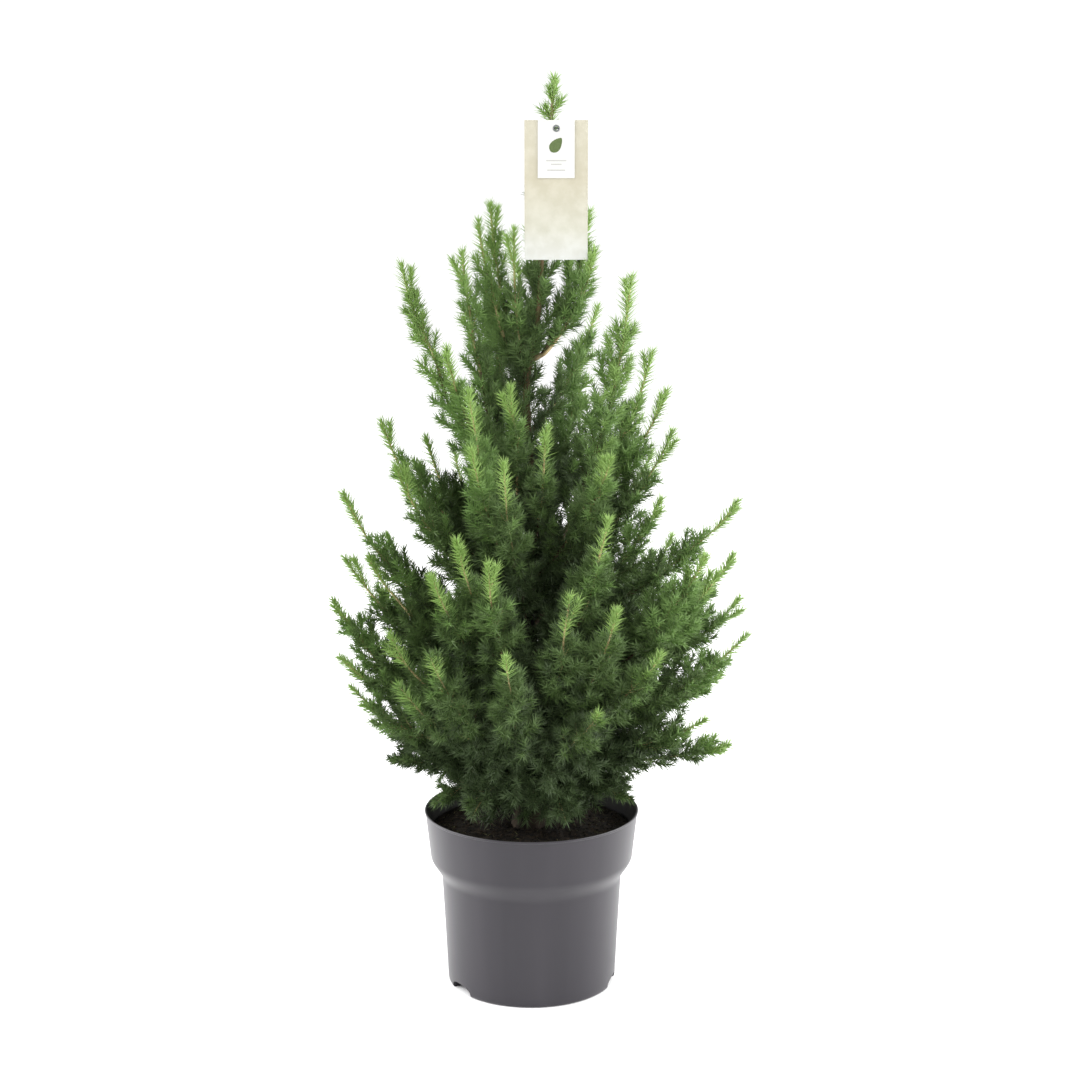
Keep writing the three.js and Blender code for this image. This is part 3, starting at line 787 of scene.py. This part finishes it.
class Tree(Nodes):
    """A geometry node tree with named inputs."""

    def __init__(self, name, inputs):
        self.tree = bpy.data.node_groups.new(name, "GeometryNodeTree")
        face = self.tree.interface
        face.new_socket("Geometry", in_out="INPUT", socket_type="NodeSocketGeometry")
        face.new_socket("Geometry", in_out="OUTPUT", socket_type="NodeSocketGeometry")
        self.names = {}
        for label, kind, value in inputs:
            socket = face.new_socket(label, in_out="INPUT", socket_type="NodeSocket" + kind)
            if value is not None:
                socket.default_value = value
            self.names[label] = socket.identifier
        self.entry = self.tree.nodes.new("NodeGroupInput")
        self.exit = self.tree.nodes.new("NodeGroupOutput")

    def input(self, label):
        return self.entry.outputs[label]

    def math(self, operation, a, b=0.0):
        return self.add("ShaderNodeMath", {0: a, 1: b}, operation=operation).outputs[0]

    def scaled(self, vector, scale):
        node = self.add("ShaderNodeVectorMath", {0: vector, "Scale": scale}, operation="SCALE")
        return node.outputs["Vector"]

    def sum(self, a, b):
        return self.add("ShaderNodeVectorMath", {0: a, 1: b}, operation="ADD").outputs["Vector"]

    def fact(self, label):
        return self.add("GeometryNodeInputNamedAttribute", {"Name": label}).outputs["Attribute"]

    def random(self, low, high, seed, extra=0):
        shifted = self.math("ADD", seed, float(extra))
        node = self.add("FunctionNodeRandomValue", {2: low, 3: high, "Seed": shifted})
        return node.outputs[1]

    def dealt(self, geometry, fact, materials):
        """Sets each material where the named value matches its place in the list."""
        for place, material in enumerate(materials):
            match = self.add(
                "FunctionNodeCompare",
                {0: self.fact(fact), 1: float(place), "Epsilon": 0.5},
                operation="EQUAL",
            )
            node = self.add(
                "GeometryNodeSetMaterial",
                {"Geometry": geometry, "Selection": match.outputs[0], "Material": material},
            )
            geometry = node.outputs[0]
        return geometry

    def finish(self, geometry):
        self.tree.links.new(geometry, self.exit.inputs[0])
        return self


def needle_tree():
    """Sets needles round every shoot by the golden angle, leaning towards its tip."""
    tree = Tree("needles_on_shoots", [
        ("Spacing", "Float", NEEDLE_SPACING),
        ("Length", "Float", NEEDLE_LENGTH),
        ("Width", "Float", NEEDLE_WIDTH),
        ("Lift", "Float", 0.12),
        ("Unevenness", "Float", 0.22),
        ("Seed", "Int", SEED),
    ])
    seed = tree.input("Seed")
    curve = tree.add("GeometryNodeMeshToCurve", {0: tree.input("Geometry")})
    even = tree.add(
        "GeometryNodeResampleCurve",
        {"Curve": curve.outputs[0], "Length": tree.input("Spacing")},
        mode="LENGTH",
    )
    tangent = tree.add("GeometryNodeInputTangent").outputs[0]
    normal = tree.add("GeometryNodeInputNormal").outputs[0]
    across = tree.add("ShaderNodeVectorMath", {0: tangent, 1: normal}, operation="CROSS_PRODUCT")
    index = tree.add("GeometryNodeInputIndex").outputs[0]
    roll = tree.math("ADD", tree.math("MULTIPLY", index, GOLDEN), tree.random(-0.4, 0.4, seed, 1))
    lean = tree.math("ADD", tree.fact("lean"), tree.random(-0.26, 0.26, seed, 2))
    outward = tree.sum(
        tree.scaled(normal, tree.math("COSINE", roll)),
        tree.scaled(across.outputs["Vector"], tree.math("SINE", roll)),
    )
    heading = tree.sum(
        tree.scaled(tangent, tree.math("COSINE", lean)),
        tree.scaled(outward, tree.math("SINE", lean)),
    )
    lifted = tree.sum(heading, tree.scaled(UP, tree.input("Lift")))
    turn = tree.add("FunctionNodeAlignRotationToVector", {"Vector": lifted}, axis="Z")
    uneven = tree.input("Unevenness")
    low = tree.math("SUBTRACT", 1.0, uneven)
    high = tree.math("ADD", 1.0, tree.math("MULTIPLY", uneven, 0.6))
    stretch = tree.math("MULTIPLY", tree.fact("needle"), tree.random(low, high, seed, 3))
    slim = tree.fact("slim")
    scale = tree.add("ShaderNodeCombineXYZ", {0: slim, 1: slim, 2: stretch})
    half_width = tree.math("MULTIPLY", tree.input("Width"), 0.5)
    needle = tree.add(
        "GeometryNodeMeshCone",
        {
            "Vertices": 3,
            "Radius Top": 0.0,
            "Radius Bottom": half_width,
            "Depth": tree.input("Length"),
        },
        fill_type="NONE",
    )
    grows = tree.add("FunctionNodeCompare", {0: tree.fact("needle"), 1: 0.05})
    on = tree.add("GeometryNodeInstanceOnPoints", {
        "Points": even.outputs[0],
        "Selection": grows.outputs[0],
        "Instance": needle.outputs["Mesh"],
        "Rotation": turn.outputs[0],
        "Scale": scale.outputs[0],
    })
    real = tree.add("GeometryNodeRealizeInstances", {0: on.outputs[0]})
    return tree.finish(tree.dealt(real.outputs[0], "tint", NEEDLES))


def twig_tree():
    """Gives every shoot its bark: a thin tapering tube, young or old."""
    tree = Tree("bark_on_shoots", [("Sides", "Int", 3), ("Thickness", "Float", 1.0)])
    curve = tree.add("GeometryNodeMeshToCurve", {0: tree.input("Geometry")})
    thickness = tree.math("MULTIPLY", tree.fact("thickness"), tree.input("Thickness"))
    ring = tree.add(
        "GeometryNodeCurvePrimitiveCircle", {"Resolution": tree.input("Sides"), "Radius": 1.0}
    )
    tube = tree.add("GeometryNodeCurveToMesh", {
        "Curve": curve.outputs[0],
        "Profile Curve": ring.outputs[0],
        "Scale": thickness,
        "Fill Caps": True,
    })
    real = tree.add("GeometryNodeRealizeInstances", {0: tube.outputs[0]})
    return tree.finish(tree.dealt(real.outputs[0], "age", [YOUNG_BARK, OLD_BARK]))


def crumb_shape(tree):
    """A small angular lump."""
    return tree.add("GeometryNodeMeshIcoSphere", {"Radius": 1.0 * MM, "Subdivisions": 1}).outputs[0]


def litter_shape(tree):
    """A fallen needle, lying flat."""
    lying = tree.add("GeometryNodeMeshCone", {
        "Vertices": 3,
        "Radius Top": 0.0,
        "Radius Bottom": 0.35 * MM,
        "Depth": 6 * MM,
    })
    turned = tree.add(
        "GeometryNodeTransform", {0: lying.outputs[0], "Rotation": (math.pi / 2, 0, 0)}
    )
    return turned.outputs[0]


def scatter_tree(name, shape, material):
    """Scatters a small shape over a surface, each turned and sized by chance."""
    tree = Tree(name, [("Density", "Float", 1000.0), ("Seed", "Int", SEED)])
    seed = tree.input("Seed")
    points = tree.add("GeometryNodeDistributePointsOnFaces", {
        "Mesh": tree.input("Geometry"),
        "Density": tree.input("Density"),
        "Seed": seed,
    })
    size = [tree.random(0.3, 1.35, seed, place) for place in (4, 5, 6)]
    scale = tree.add("ShaderNodeCombineXYZ", dict(enumerate(size)))
    tilt = [tree.random(-0.35, 0.35, seed, place) for place in (7, 8)]
    roll = tree.random(0.0, math.tau, seed, 9)
    turn = tree.add("ShaderNodeCombineXYZ", {0: tilt[0], 1: tilt[1], 2: roll})
    on = tree.add("GeometryNodeInstanceOnPoints", {
        "Points": points.outputs[0],
        "Instance": shape(tree),
        "Rotation": turn.outputs[0],
        "Scale": scale.outputs[0],
    })
    real = tree.add("GeometryNodeRealizeInstances", {0: on.outputs[0]})
    painted = tree.add(
        "GeometryNodeSetMaterial", {"Geometry": real.outputs[0], "Material": material}
    )
    return tree.finish(painted.outputs[0])


def grown(name, source, tree, **inputs):
    """Runs a tree on an object and returns its result as a plain mesh object."""
    bpy.context.scene.collection.objects.link(source)
    modifier = source.modifiers.new("grow", "NODES")
    modifier.node_group = tree.tree
    for label, value in inputs.items():
        modifier[tree.names[label]] = value
    bpy.context.view_layer.update()
    depsgraph = bpy.context.evaluated_depsgraph_get()
    mesh = bpy.data.meshes.new_from_object(source.evaluated_get(depsgraph))
    source.modifiers.remove(modifier)
    bpy.data.objects.remove(source)
    mesh.name = name
    piece = bpy.data.objects.new(name, mesh)
    bpy.context.scene.collection.objects.link(piece)
    return piece


# ------------------------------------------------------------------ the crown

TIERS = {
    "top": ("foliage_leader", "foliage_top", "foliage_high"),
    "mid_front": ("foliage_mid_front", "foliage_mid_right_front"),
    "mid_sides": ("foliage_mid",),
    "low_right": ("foliage_low_right",),
    "low_left": ("foliage_low_left",),
    "low_front": ("foliage_low_front",),
    "back_high": ("foliage_back_high", "foliage_back_mid"),
    "back_low": ("foliage_back",),
}


def tier_of(node):
    return next(tier for tier, starts in TIERS.items() if node.startswith(starts))


def grow_crown():
    tiers = {tier: Shoots() for tier in TIERS}
    for place, mass in enumerate(CROWN):
        draw = random.Random(SEED + 17 * place)
        for tip in mass.tips:
            line = stem_line(mass, tip, draw)
            grow_stem(tiers[tier_of(mass.node)], mass, line, draw)
    draw = random.Random(SEED)
    grow_leader(tiers["top"], draw)
    grow_heart(tiers["back_high"], draw)
    grow_skirt(tiers["mid_front"], draw)
    return tiers


def make_crown():
    needle_rule = needle_tree()
    twig_rule = twig_tree()
    for place, (tier, shoots) in enumerate(grow_crown().items()):
        needles = grown(f"needles_{tier}", shoots.mesh("shoots"), needle_rule, Seed=SEED + place)
        nodes = [mass.node for mass in MASSES if tier_of(mass.node) == tier]
        settle(needles, "foliage", *nodes)
        twigs = grown(f"twigs_{tier}", shoots.mesh("shoots"), twig_rule)
        settle(twigs, "bark")


# ------------------------------------------------------------------ making pieces


def settle(piece, slot, *nodes):
    """A finished piece rides the body, and these CAD nodes are hidden where it stands in for them.
    """
    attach(piece, "root")
    if nodes:
        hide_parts(*nodes)


def new_piece(name, corners, faces, *materials, crease=None):
    mesh = bpy.data.meshes.new(name)
    mesh.from_pydata([tuple(corner) for corner in corners], [], faces)
    for material in materials:
        mesh.materials.append(material)
    mesh.shade_smooth()
    if crease:
        mesh.set_sharp_from_angle(angle=math.radians(crease))
    mesh.update()
    piece = bpy.data.objects.new(name, mesh)
    bpy.context.scene.collection.objects.link(piece)
    return piece


def ringed(rings, first_pole, last_pole):
    """A closed shape through rings of corners, shut by a fan at each end."""
    count = len(rings[0])
    corners = [first_pole, *(spot for ring in rings for spot in ring), last_pole]
    faces = [(0, 1 + (i + 1) % count, 1 + i) for i in range(count)]
    for level in range(len(rings) - 1):
        low = 1 + level * count
        high = low + count
        for i in range(count):
            j = (i + 1) % count
            faces.append((low + i, low + j, high + j, high + i))
    last = len(corners) - 1
    top = last - count
    faces += [(top + i, top + (i + 1) % count, last) for i in range(count)]
    return corners, faces


def circle(radius, height, sides):
    """A level ring of corners round the pot's axis."""
    turns = [math.tau * i / sides for i in range(sides)]
    return [Vector((radius * math.cos(a), radius * math.sin(a), height)) for a in turns]


def cut(piece, cutters):
    """Cuts shapes out of a piece for good, and throws the cutters away."""
    for cutter in cutters:
        modifier = piece.modifiers.new("cut", "BOOLEAN")
        modifier.operation = "DIFFERENCE"
        modifier.solver = "EXACT"
        modifier.object = cutter
    depsgraph = bpy.context.evaluated_depsgraph_get()
    mesh = bpy.data.meshes.new_from_object(piece.evaluated_get(depsgraph))
    piece.modifiers.clear()
    piece.data = mesh
    for cutter in cutters:
        bpy.data.objects.remove(cutter)


def smooth_step(share):
    return share * share * (3 - 2 * share)


# ------------------------------------------------------------------ the trunk and boughs


def bark_relief(around, height, seed):
    """How far the bark stands out, against the limb's radius: ridges and scales."""
    ridge = noise.noise(Vector((around.x * 1.9 + seed, around.y * 1.9, height * 38)))
    scale = noise.noise(Vector((around.x * 4.5, around.y * 4.5 + seed, height * 190)))
    return RIDGES * ridge + SCALES * scale


def limb(line, radii, sides, seed):
    """A closed tube along a line with the bark's relief on it."""
    rings = []
    for i, spot in enumerate(line):
        ahead = (line[min(i + 1, len(line) - 1)] - line[max(i - 1, 0)]).normalized()
        across = (Vector((1, 0, 0)) - ahead * ahead.x).normalized()
        over = ahead.cross(across)
        ring = []
        for k in range(sides):
            angle = math.tau * k / sides
            around = across * math.cos(angle) + over * math.sin(angle)
            ring.append(spot + around * (radii[i] * (1 + bark_relief(around, spot.z, seed))))
        rings.append(ring)
    return ringed(rings, line[0], line[-1])


def trunk_shape():
    count = int((TRUNK_TOP - TRUNK_FOOT) / TRUNK_STEP)
    heights = [TRUNK_FOOT + (TRUNK_TOP - TRUNK_FOOT) * i / count for i in range(count + 1)]
    radii = [between(RING_HEIGHTS, RING_RADII, height) for height in heights]
    line = [trunk_at(height) for height in heights]
    line.insert(0, line[0] - UP * TRUNK_SUNK)
    radii.insert(0, radii[0])
    return limb(line, eased(radii, 2), TRUNK_SIDES, 0)


def make_wood():
    """The trunk and its boughs, one piece with the bark's relief."""
    shapes = [trunk_shape()]
    for place, mass in enumerate(CROWN):
        if mass.bough:
            count = len(mass.bough)
            radii = [BOUGH_FOOT + (BOUGH_TIP - BOUGH_FOOT) * i / (count - 1) for i in range(count)]
            shapes.append(limb(mass.bough, radii, BOUGH_SIDES, place + 1))
    corners, faces = [], []
    for some_corners, some_faces in shapes:
        first = len(corners)
        corners += some_corners
        faces += [tuple(first + i for i in face) for face in some_faces]
    wood = new_piece("wood", corners, faces, BARK)
    settle(wood, "bark", *(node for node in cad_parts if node.startswith(("trunk", "bough"))))


# ------------------------------------------------------------------ the pot and its soil


def straight(low, high, heights):
    """A straight stretch of wall through two levels, at the given heights."""
    (low_z, low_r), (high_z, high_r) = low, high
    return [(z, low_r + (high_r - low_r) * (z - low_z) / (high_z - low_z)) for z in heights]


def pot_profile():
    """The pot's outline from the underside, up the wall, over the lip and down inside."""
    wall = straight(FOOT_CORNER[-1], SHOULDER_FOOT, range(8, 97, 8))
    collar = straight(SHOULDER_TOP, LIP[0], range(124, 156, 6))
    (low_z, low_r), (high_z, high_r) = SHOULDER_FOOT, SHOULDER_TOP
    shoulder = []
    for i in range(SHOULDER_STEPS + 1):
        t = i / SHOULDER_STEPS
        shoulder.append((low_z + (high_z - low_z) * t, low_r + (high_r - low_r) * smooth_step(t)))
    outside = [*FOOT_CORNER, *wall, *shoulder, *collar]
    inside = [(z, r - WALL / MM) for z, r in reversed(outside) if z > POT_FLOOR]
    return [*outside, *LIP, *inside, POT_FLOOR_EDGE], len(outside) + len(LIP) // 2


def notch_cutter(bearing):
    """An arched block that takes a drainage notch out of the foot of the wall."""
    out = Vector((math.sin(math.radians(bearing)), -math.cos(math.radians(bearing)), 0))
    side = Vector((-out.y, out.x, 0))
    half = NOTCH_WIDTH / 2
    arch = []
    for i in range(NOTCH_STEPS + 1):
        angle = math.pi * i / NOTCH_STEPS
        arch.append((half * math.cos(angle), NOTCH_STRAIGHT + NOTCH_ARCH * math.sin(angle)))
    outline = [*arch, (-half, -2.0), (half, -2.0)]
    rings = []
    for reach in NOTCH_REACH:
        rings.append([(out * reach + side * x + UP * z) * MM for x, z in outline])
    first, last = (out * reach * MM for reach in NOTCH_REACH)
    return new_piece("notch", *ringed(rings, first, last))


def make_pot():
    profile, rim_level = pot_profile()
    rings = [circle(radius * MM, height * MM, POT_SIDES) for height, radius in profile]
    floor = Vector((0, 0, POT_FLOOR * MM))
    pot = new_piece("plant_pot", *ringed(rings, Vector((0, 0, 0)), floor), POT, POT_INSIDE)
    first_inside = POT_SIDES * (rim_level + 1)
    for polygon in pot.data.polygons:
        polygon.material_index = int(polygon.index >= first_inside)
    cut(pot, [notch_cutter(bearing) for bearing in NOTCH_BEARINGS])
    pot.data.set_sharp_from_angle(angle=math.radians(35))
    settle(pot, "pot", "pot")


def soil_height(spot, radius):
    """The soil's surface: a low dome with lumps and grains."""
    dome = SOIL_DOME * (1 - (spot.length / radius) ** 2)
    lumps = noise.noise(spot * 55) + 0.55 * noise.noise(spot * 150 + UP * 7)
    grains = 0.35 * noise.noise(spot * 420)
    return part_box("potting_soil")[1].z - SOIL_DOME + dome + SOIL_RELIEF * (lumps + grains)


def make_soil():
    """A lumpy bed of soil with crumbs and fallen needles on it."""
    low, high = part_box("potting_soil")
    radius = (high.x - low.x) / 2
    rings = [circle(radius - SOIL_TAPER, SOIL_UNDERSIDE, SOIL_SIDES)]
    for level in range(SOIL_RINGS):
        reach = radius * (1 - level / SOIL_RINGS)
        ring = circle(reach, 0, SOIL_SIDES)
        rings.append([spot + UP * soil_height(spot, radius) for spot in ring])
    centre = Vector((0, 0, soil_height(Vector((0, 0, 0)), radius)))
    bed = new_piece("soil_bed", *ringed(rings, UP * SOIL_UNDERSIDE, centre), SOIL)
    settle(bed, "soil", "potting_soil")
    crumb = scatter_tree("crumbs", crumb_shape, CRUMB)
    needle = scatter_tree("fallen", litter_shape, FALLEN)
    for name, tree, density in (("soil_crumbs", crumb, CRUMBS), ("soil_litter", needle, LITTER)):
        source = bpy.data.objects.new(name, soil_top(bed, radius))
        settle(grown(name, source, tree, Density=density, Seed=SEED), "soil")


def soil_top(bed, radius):
    """The part of the bed's surface that crumbs and needles may lie on."""
    mesh = bpy.data.meshes.new("soil_top")
    faces = []
    for polygon in bed.data.polygons:
        centre = polygon.center
        if polygon.normal.z > 0.3 and math.hypot(centre.x, centre.y) < CRUMB_REACH * radius:
            faces.append(tuple(polygon.vertices))
    mesh.from_pydata([tuple(vertex.co) for vertex in bed.data.vertices], [], faces)
    return mesh


# ------------------------------------------------------------------ the sale tag


def tag_bow(x, z):
    """How far the tag's paper curls back at a place."""
    low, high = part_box("tag_card")
    across = (2 * x - low.x - high.x) / (high.x - low.x)
    along = (high.z - z) / (high.z - low.z)
    return TAG_BOW * (across * across + 0.8 * along * along)


def make_sheet(name, material, cells):
    """A sheet of paper in the place of its CAD node, curled a little."""
    low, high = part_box(name)
    across, along = cells
    rim = [(i / across, 0.0) for i in range(across)]
    rim += [(1.0, i / along) for i in range(along)]
    rim += [(1 - i / across, 1.0) for i in range(across)]
    rim += [(0.0, 1 - i / along) for i in range(along)]
    steps = max(across, along) // 2

    def ring(face, shrink):
        spots = []
        for u, v in rim:
            x = low.x + (high.x - low.x) * (0.5 + (u - 0.5) * shrink)
            z = low.z + (high.z - low.z) * (0.5 + (v - 0.5) * shrink)
            spots.append(Vector((x, face + tag_bow(x, z), z)))
        return spots

    shrinks = [i / steps for i in range(1, steps + 1)]
    rings = [ring(high.y, shrink) for shrink in shrinks]
    rings += [ring(low.y, shrink) for shrink in reversed(shrinks)]
    x, z = (low.x + high.x) / 2, (low.z + high.z) / 2
    poles = [Vector((x, face + tag_bow(x, z), z)) for face in (high.y, low.y)]
    return new_piece(f"{name}_sheet", *ringed(rings, *poles), material, crease=50)


def printed(name, outline, material):
    """A flat printed shape that stands a hair in front of the ticket."""
    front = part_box("tag_ticket")[0].y
    centre_x = sum(x for x, _ in outline) / len(outline)
    centre_z = sum(z for _, z in outline) / len(outline)

    def at(x, z, rise):
        return Vector((x, front + tag_bow(x, z) - rise, z))

    rings = [[at(x, z, rise) for x, z in outline] for rise in PRINT_RISE]
    poles = [at(centre_x, centre_z, rise) for rise in PRINT_RISE]
    return new_piece(name, *ringed(rings, *poles), material, crease=50)


def leaf_outline(centre_x, centre_z):
    """A leaf, tilted to the right."""
    tilt = math.radians(LEAF_TILT)
    outline = []
    for i in range(LEAF_STEPS):
        turn = math.tau * i / LEAF_STEPS
        along = math.cos(turn)
        wide = 0.62 * math.sin(turn) * (1 - 0.35 * along)
        aside = wide * abs(math.sin(turn)) ** 0.25
        x = LEAF_HALF * (along * math.sin(tilt) + aside * math.cos(tilt))
        z = LEAF_HALF * (along * math.cos(tilt) - aside * math.sin(tilt))
        outline.append((centre_x + x, centre_z + z))
    return outline[::-1]


def bar_outline(centre_x, centre_z, width, height):
    half, rise = width / 2, height / 2
    corners = ((-half, -rise), (half, -rise), (half, rise), (-half, rise))
    return [(centre_x + x, centre_z + z) for x, z in corners]


def ring_tube(line, radius, sides=10):
    """A closed loop of tube along a line of points that returns to its start."""
    corners, faces = [], []
    count = len(line)
    for i, spot in enumerate(line):
        ahead = (line[(i + 1) % count] - line[i - 1]).normalized()
        across, over = side_axes(ahead)
        for k in range(sides):
            angle = math.tau * k / sides
            corners.append(spot + (across * math.cos(angle) + over * math.sin(angle)) * radius)
    for i in range(count):
        low, high = i * sides, (i + 1) % count * sides
        for k in range(sides):
            j = (k + 1) % sides
            faces.append((low + k, low + j, high + j, high + k))
    return corners, faces


def hole_cutter(centre_x, centre_z):
    """A round bar that crosses both sheets where the tie goes through."""
    low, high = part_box("tag_ticket")
    hole = []
    for y in (high.y + HOLE_REACH, low.y - HOLE_REACH):
        hole.append([
            Vector((centre_x + spot.x, y, centre_z + spot.y))
            for spot in circle(EYELET_RADIUS, 0, HOLE_SIDES)
        ])
    return new_piece("hole", *ringed(hole, *(middle(ring) for ring in hole)))


def make_eyelet(centre_x, centre_z):
    """The rolled metal edge of the ticket's hole."""
    low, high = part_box("tag_ticket")
    line = []
    for i in range(EYELET_STEPS):
        turn = math.tau * i / EYELET_STEPS
        x = centre_x + EYELET_RADIUS * math.cos(turn)
        z = centre_z + EYELET_RADIUS * math.sin(turn)
        line.append(Vector((x, (low.y + high.y) / 2 + tag_bow(x, z), z)))
    return new_piece("tag_eyelet", *ring_tube(line, EYELET_EDGE), EYELET)


def make_print(centre_x, top):
    """A leaf and plain rules, which stand for the ticket's print."""
    leaf = leaf_outline(centre_x, top - LEAF_DROP)
    settle(printed("ticket_leaf", leaf, LEAF_PRINT), "tag_ticket")
    for place, (drop, width) in enumerate(RULES):
        bar = bar_outline(centre_x, top - drop * MM, width * MM, RULE_HEIGHT)
        settle(printed(f"ticket_rule_{place + 1}", bar, GREY_PRINT), "tag_ticket")


def make_tag():
    """The card and ticket on their tie, with a leaf and plain rules for print."""
    card = make_sheet("tag_card", CARD, (16, 32))
    ticket = make_sheet("tag_ticket", TICKET, (12, 18))
    low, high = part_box("tag_ticket")
    centre_x = (low.x + high.x) / 2
    eyelet_z = high.z - EYELET_DROP
    for sheet, node in ((card, "tag_card"), (ticket, "tag_ticket")):
        cut(sheet, [hole_cutter(centre_x, eyelet_z)])
        settle(sheet, node, node)
    settle(make_eyelet(centre_x, eyelet_z), "tag_ticket")
    make_print(centre_x, high.z)
    settle(make_tie(centre_x, eyelet_z), "tag_loop", "tag_loop")


def make_tie(centre_x, height):
    """The tie through the eyelets and round the leader."""
    low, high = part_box("tag_loop")
    length = (high.y - low.y) / 2 - TIE_RADIUS
    line = []
    for i in range(TIE_STEPS):
        angle = math.tau * i / TIE_STEPS
        width = TIE_WIDTH * (0.5 + 0.5 * math.sin(angle))
        x = centre_x + width * math.cos(angle)
        y = (low.y + high.y) / 2 + length * math.sin(angle)
        line.append(Vector((x, y, height)))
    return new_piece("tag_tie", *ring_tube(line, TIE_RADIUS), TIE)


# ------------------------------------------------------------------ camera, floor and light


def make_camera():
    lens = bpy.data.cameras.new("camera")
    lens.sensor_width = SENSOR
    lens.lens = LENS
    camera = bpy.data.objects.new("camera", lens)
    camera.location = EYE
    camera.rotation_euler = (math.pi / 2 - LOOK_DOWN, 0, 0)
    bpy.context.scene.collection.objects.link(camera)
    bpy.context.scene.camera = camera


def make_floor():
    reach = FLOOR_REACH
    corners = [(-reach, -reach, 0), (reach, -reach, 0), (reach, reach, 0), (-reach, reach, 0)]
    white = plain_material("floor", (0.96, 0.96, 0.96), 0.9, 0.1)
    new_piece("floor", corners, [(0, 1, 2, 3)], white)


def make_light():
    world = bpy.data.worlds.new("studio")
    world.use_nodes = True
    backdrop = world.node_tree.nodes["Background"]
    backdrop.inputs[0].default_value = (1, 1, 1, 1)
    backdrop.inputs[1].default_value = BACKDROP_LIGHT
    bpy.context.scene.world = world
    bpy.context.scene.view_settings.view_transform = "Standard"
    for name, place, target, width, height, power in LIGHTS:
        light = bpy.data.lights.new(name, "AREA")
        light.shape = "RECTANGLE"
        light.size = width
        light.size_y = height
        light.energy = power
        lamp = bpy.data.objects.new(name, light)
        lamp.location = place
        aim = Vector(target) - Vector(place)
        lamp.rotation_euler = aim.to_track_quat("-Z", "Y").to_euler()
        bpy.context.scene.collection.objects.link(lamp)


# ------------------------------------------------------------------ the whole plant

make_crown()
make_wood()
make_pot()
make_soil()
make_tag()
make_camera()
make_floor()
make_light()
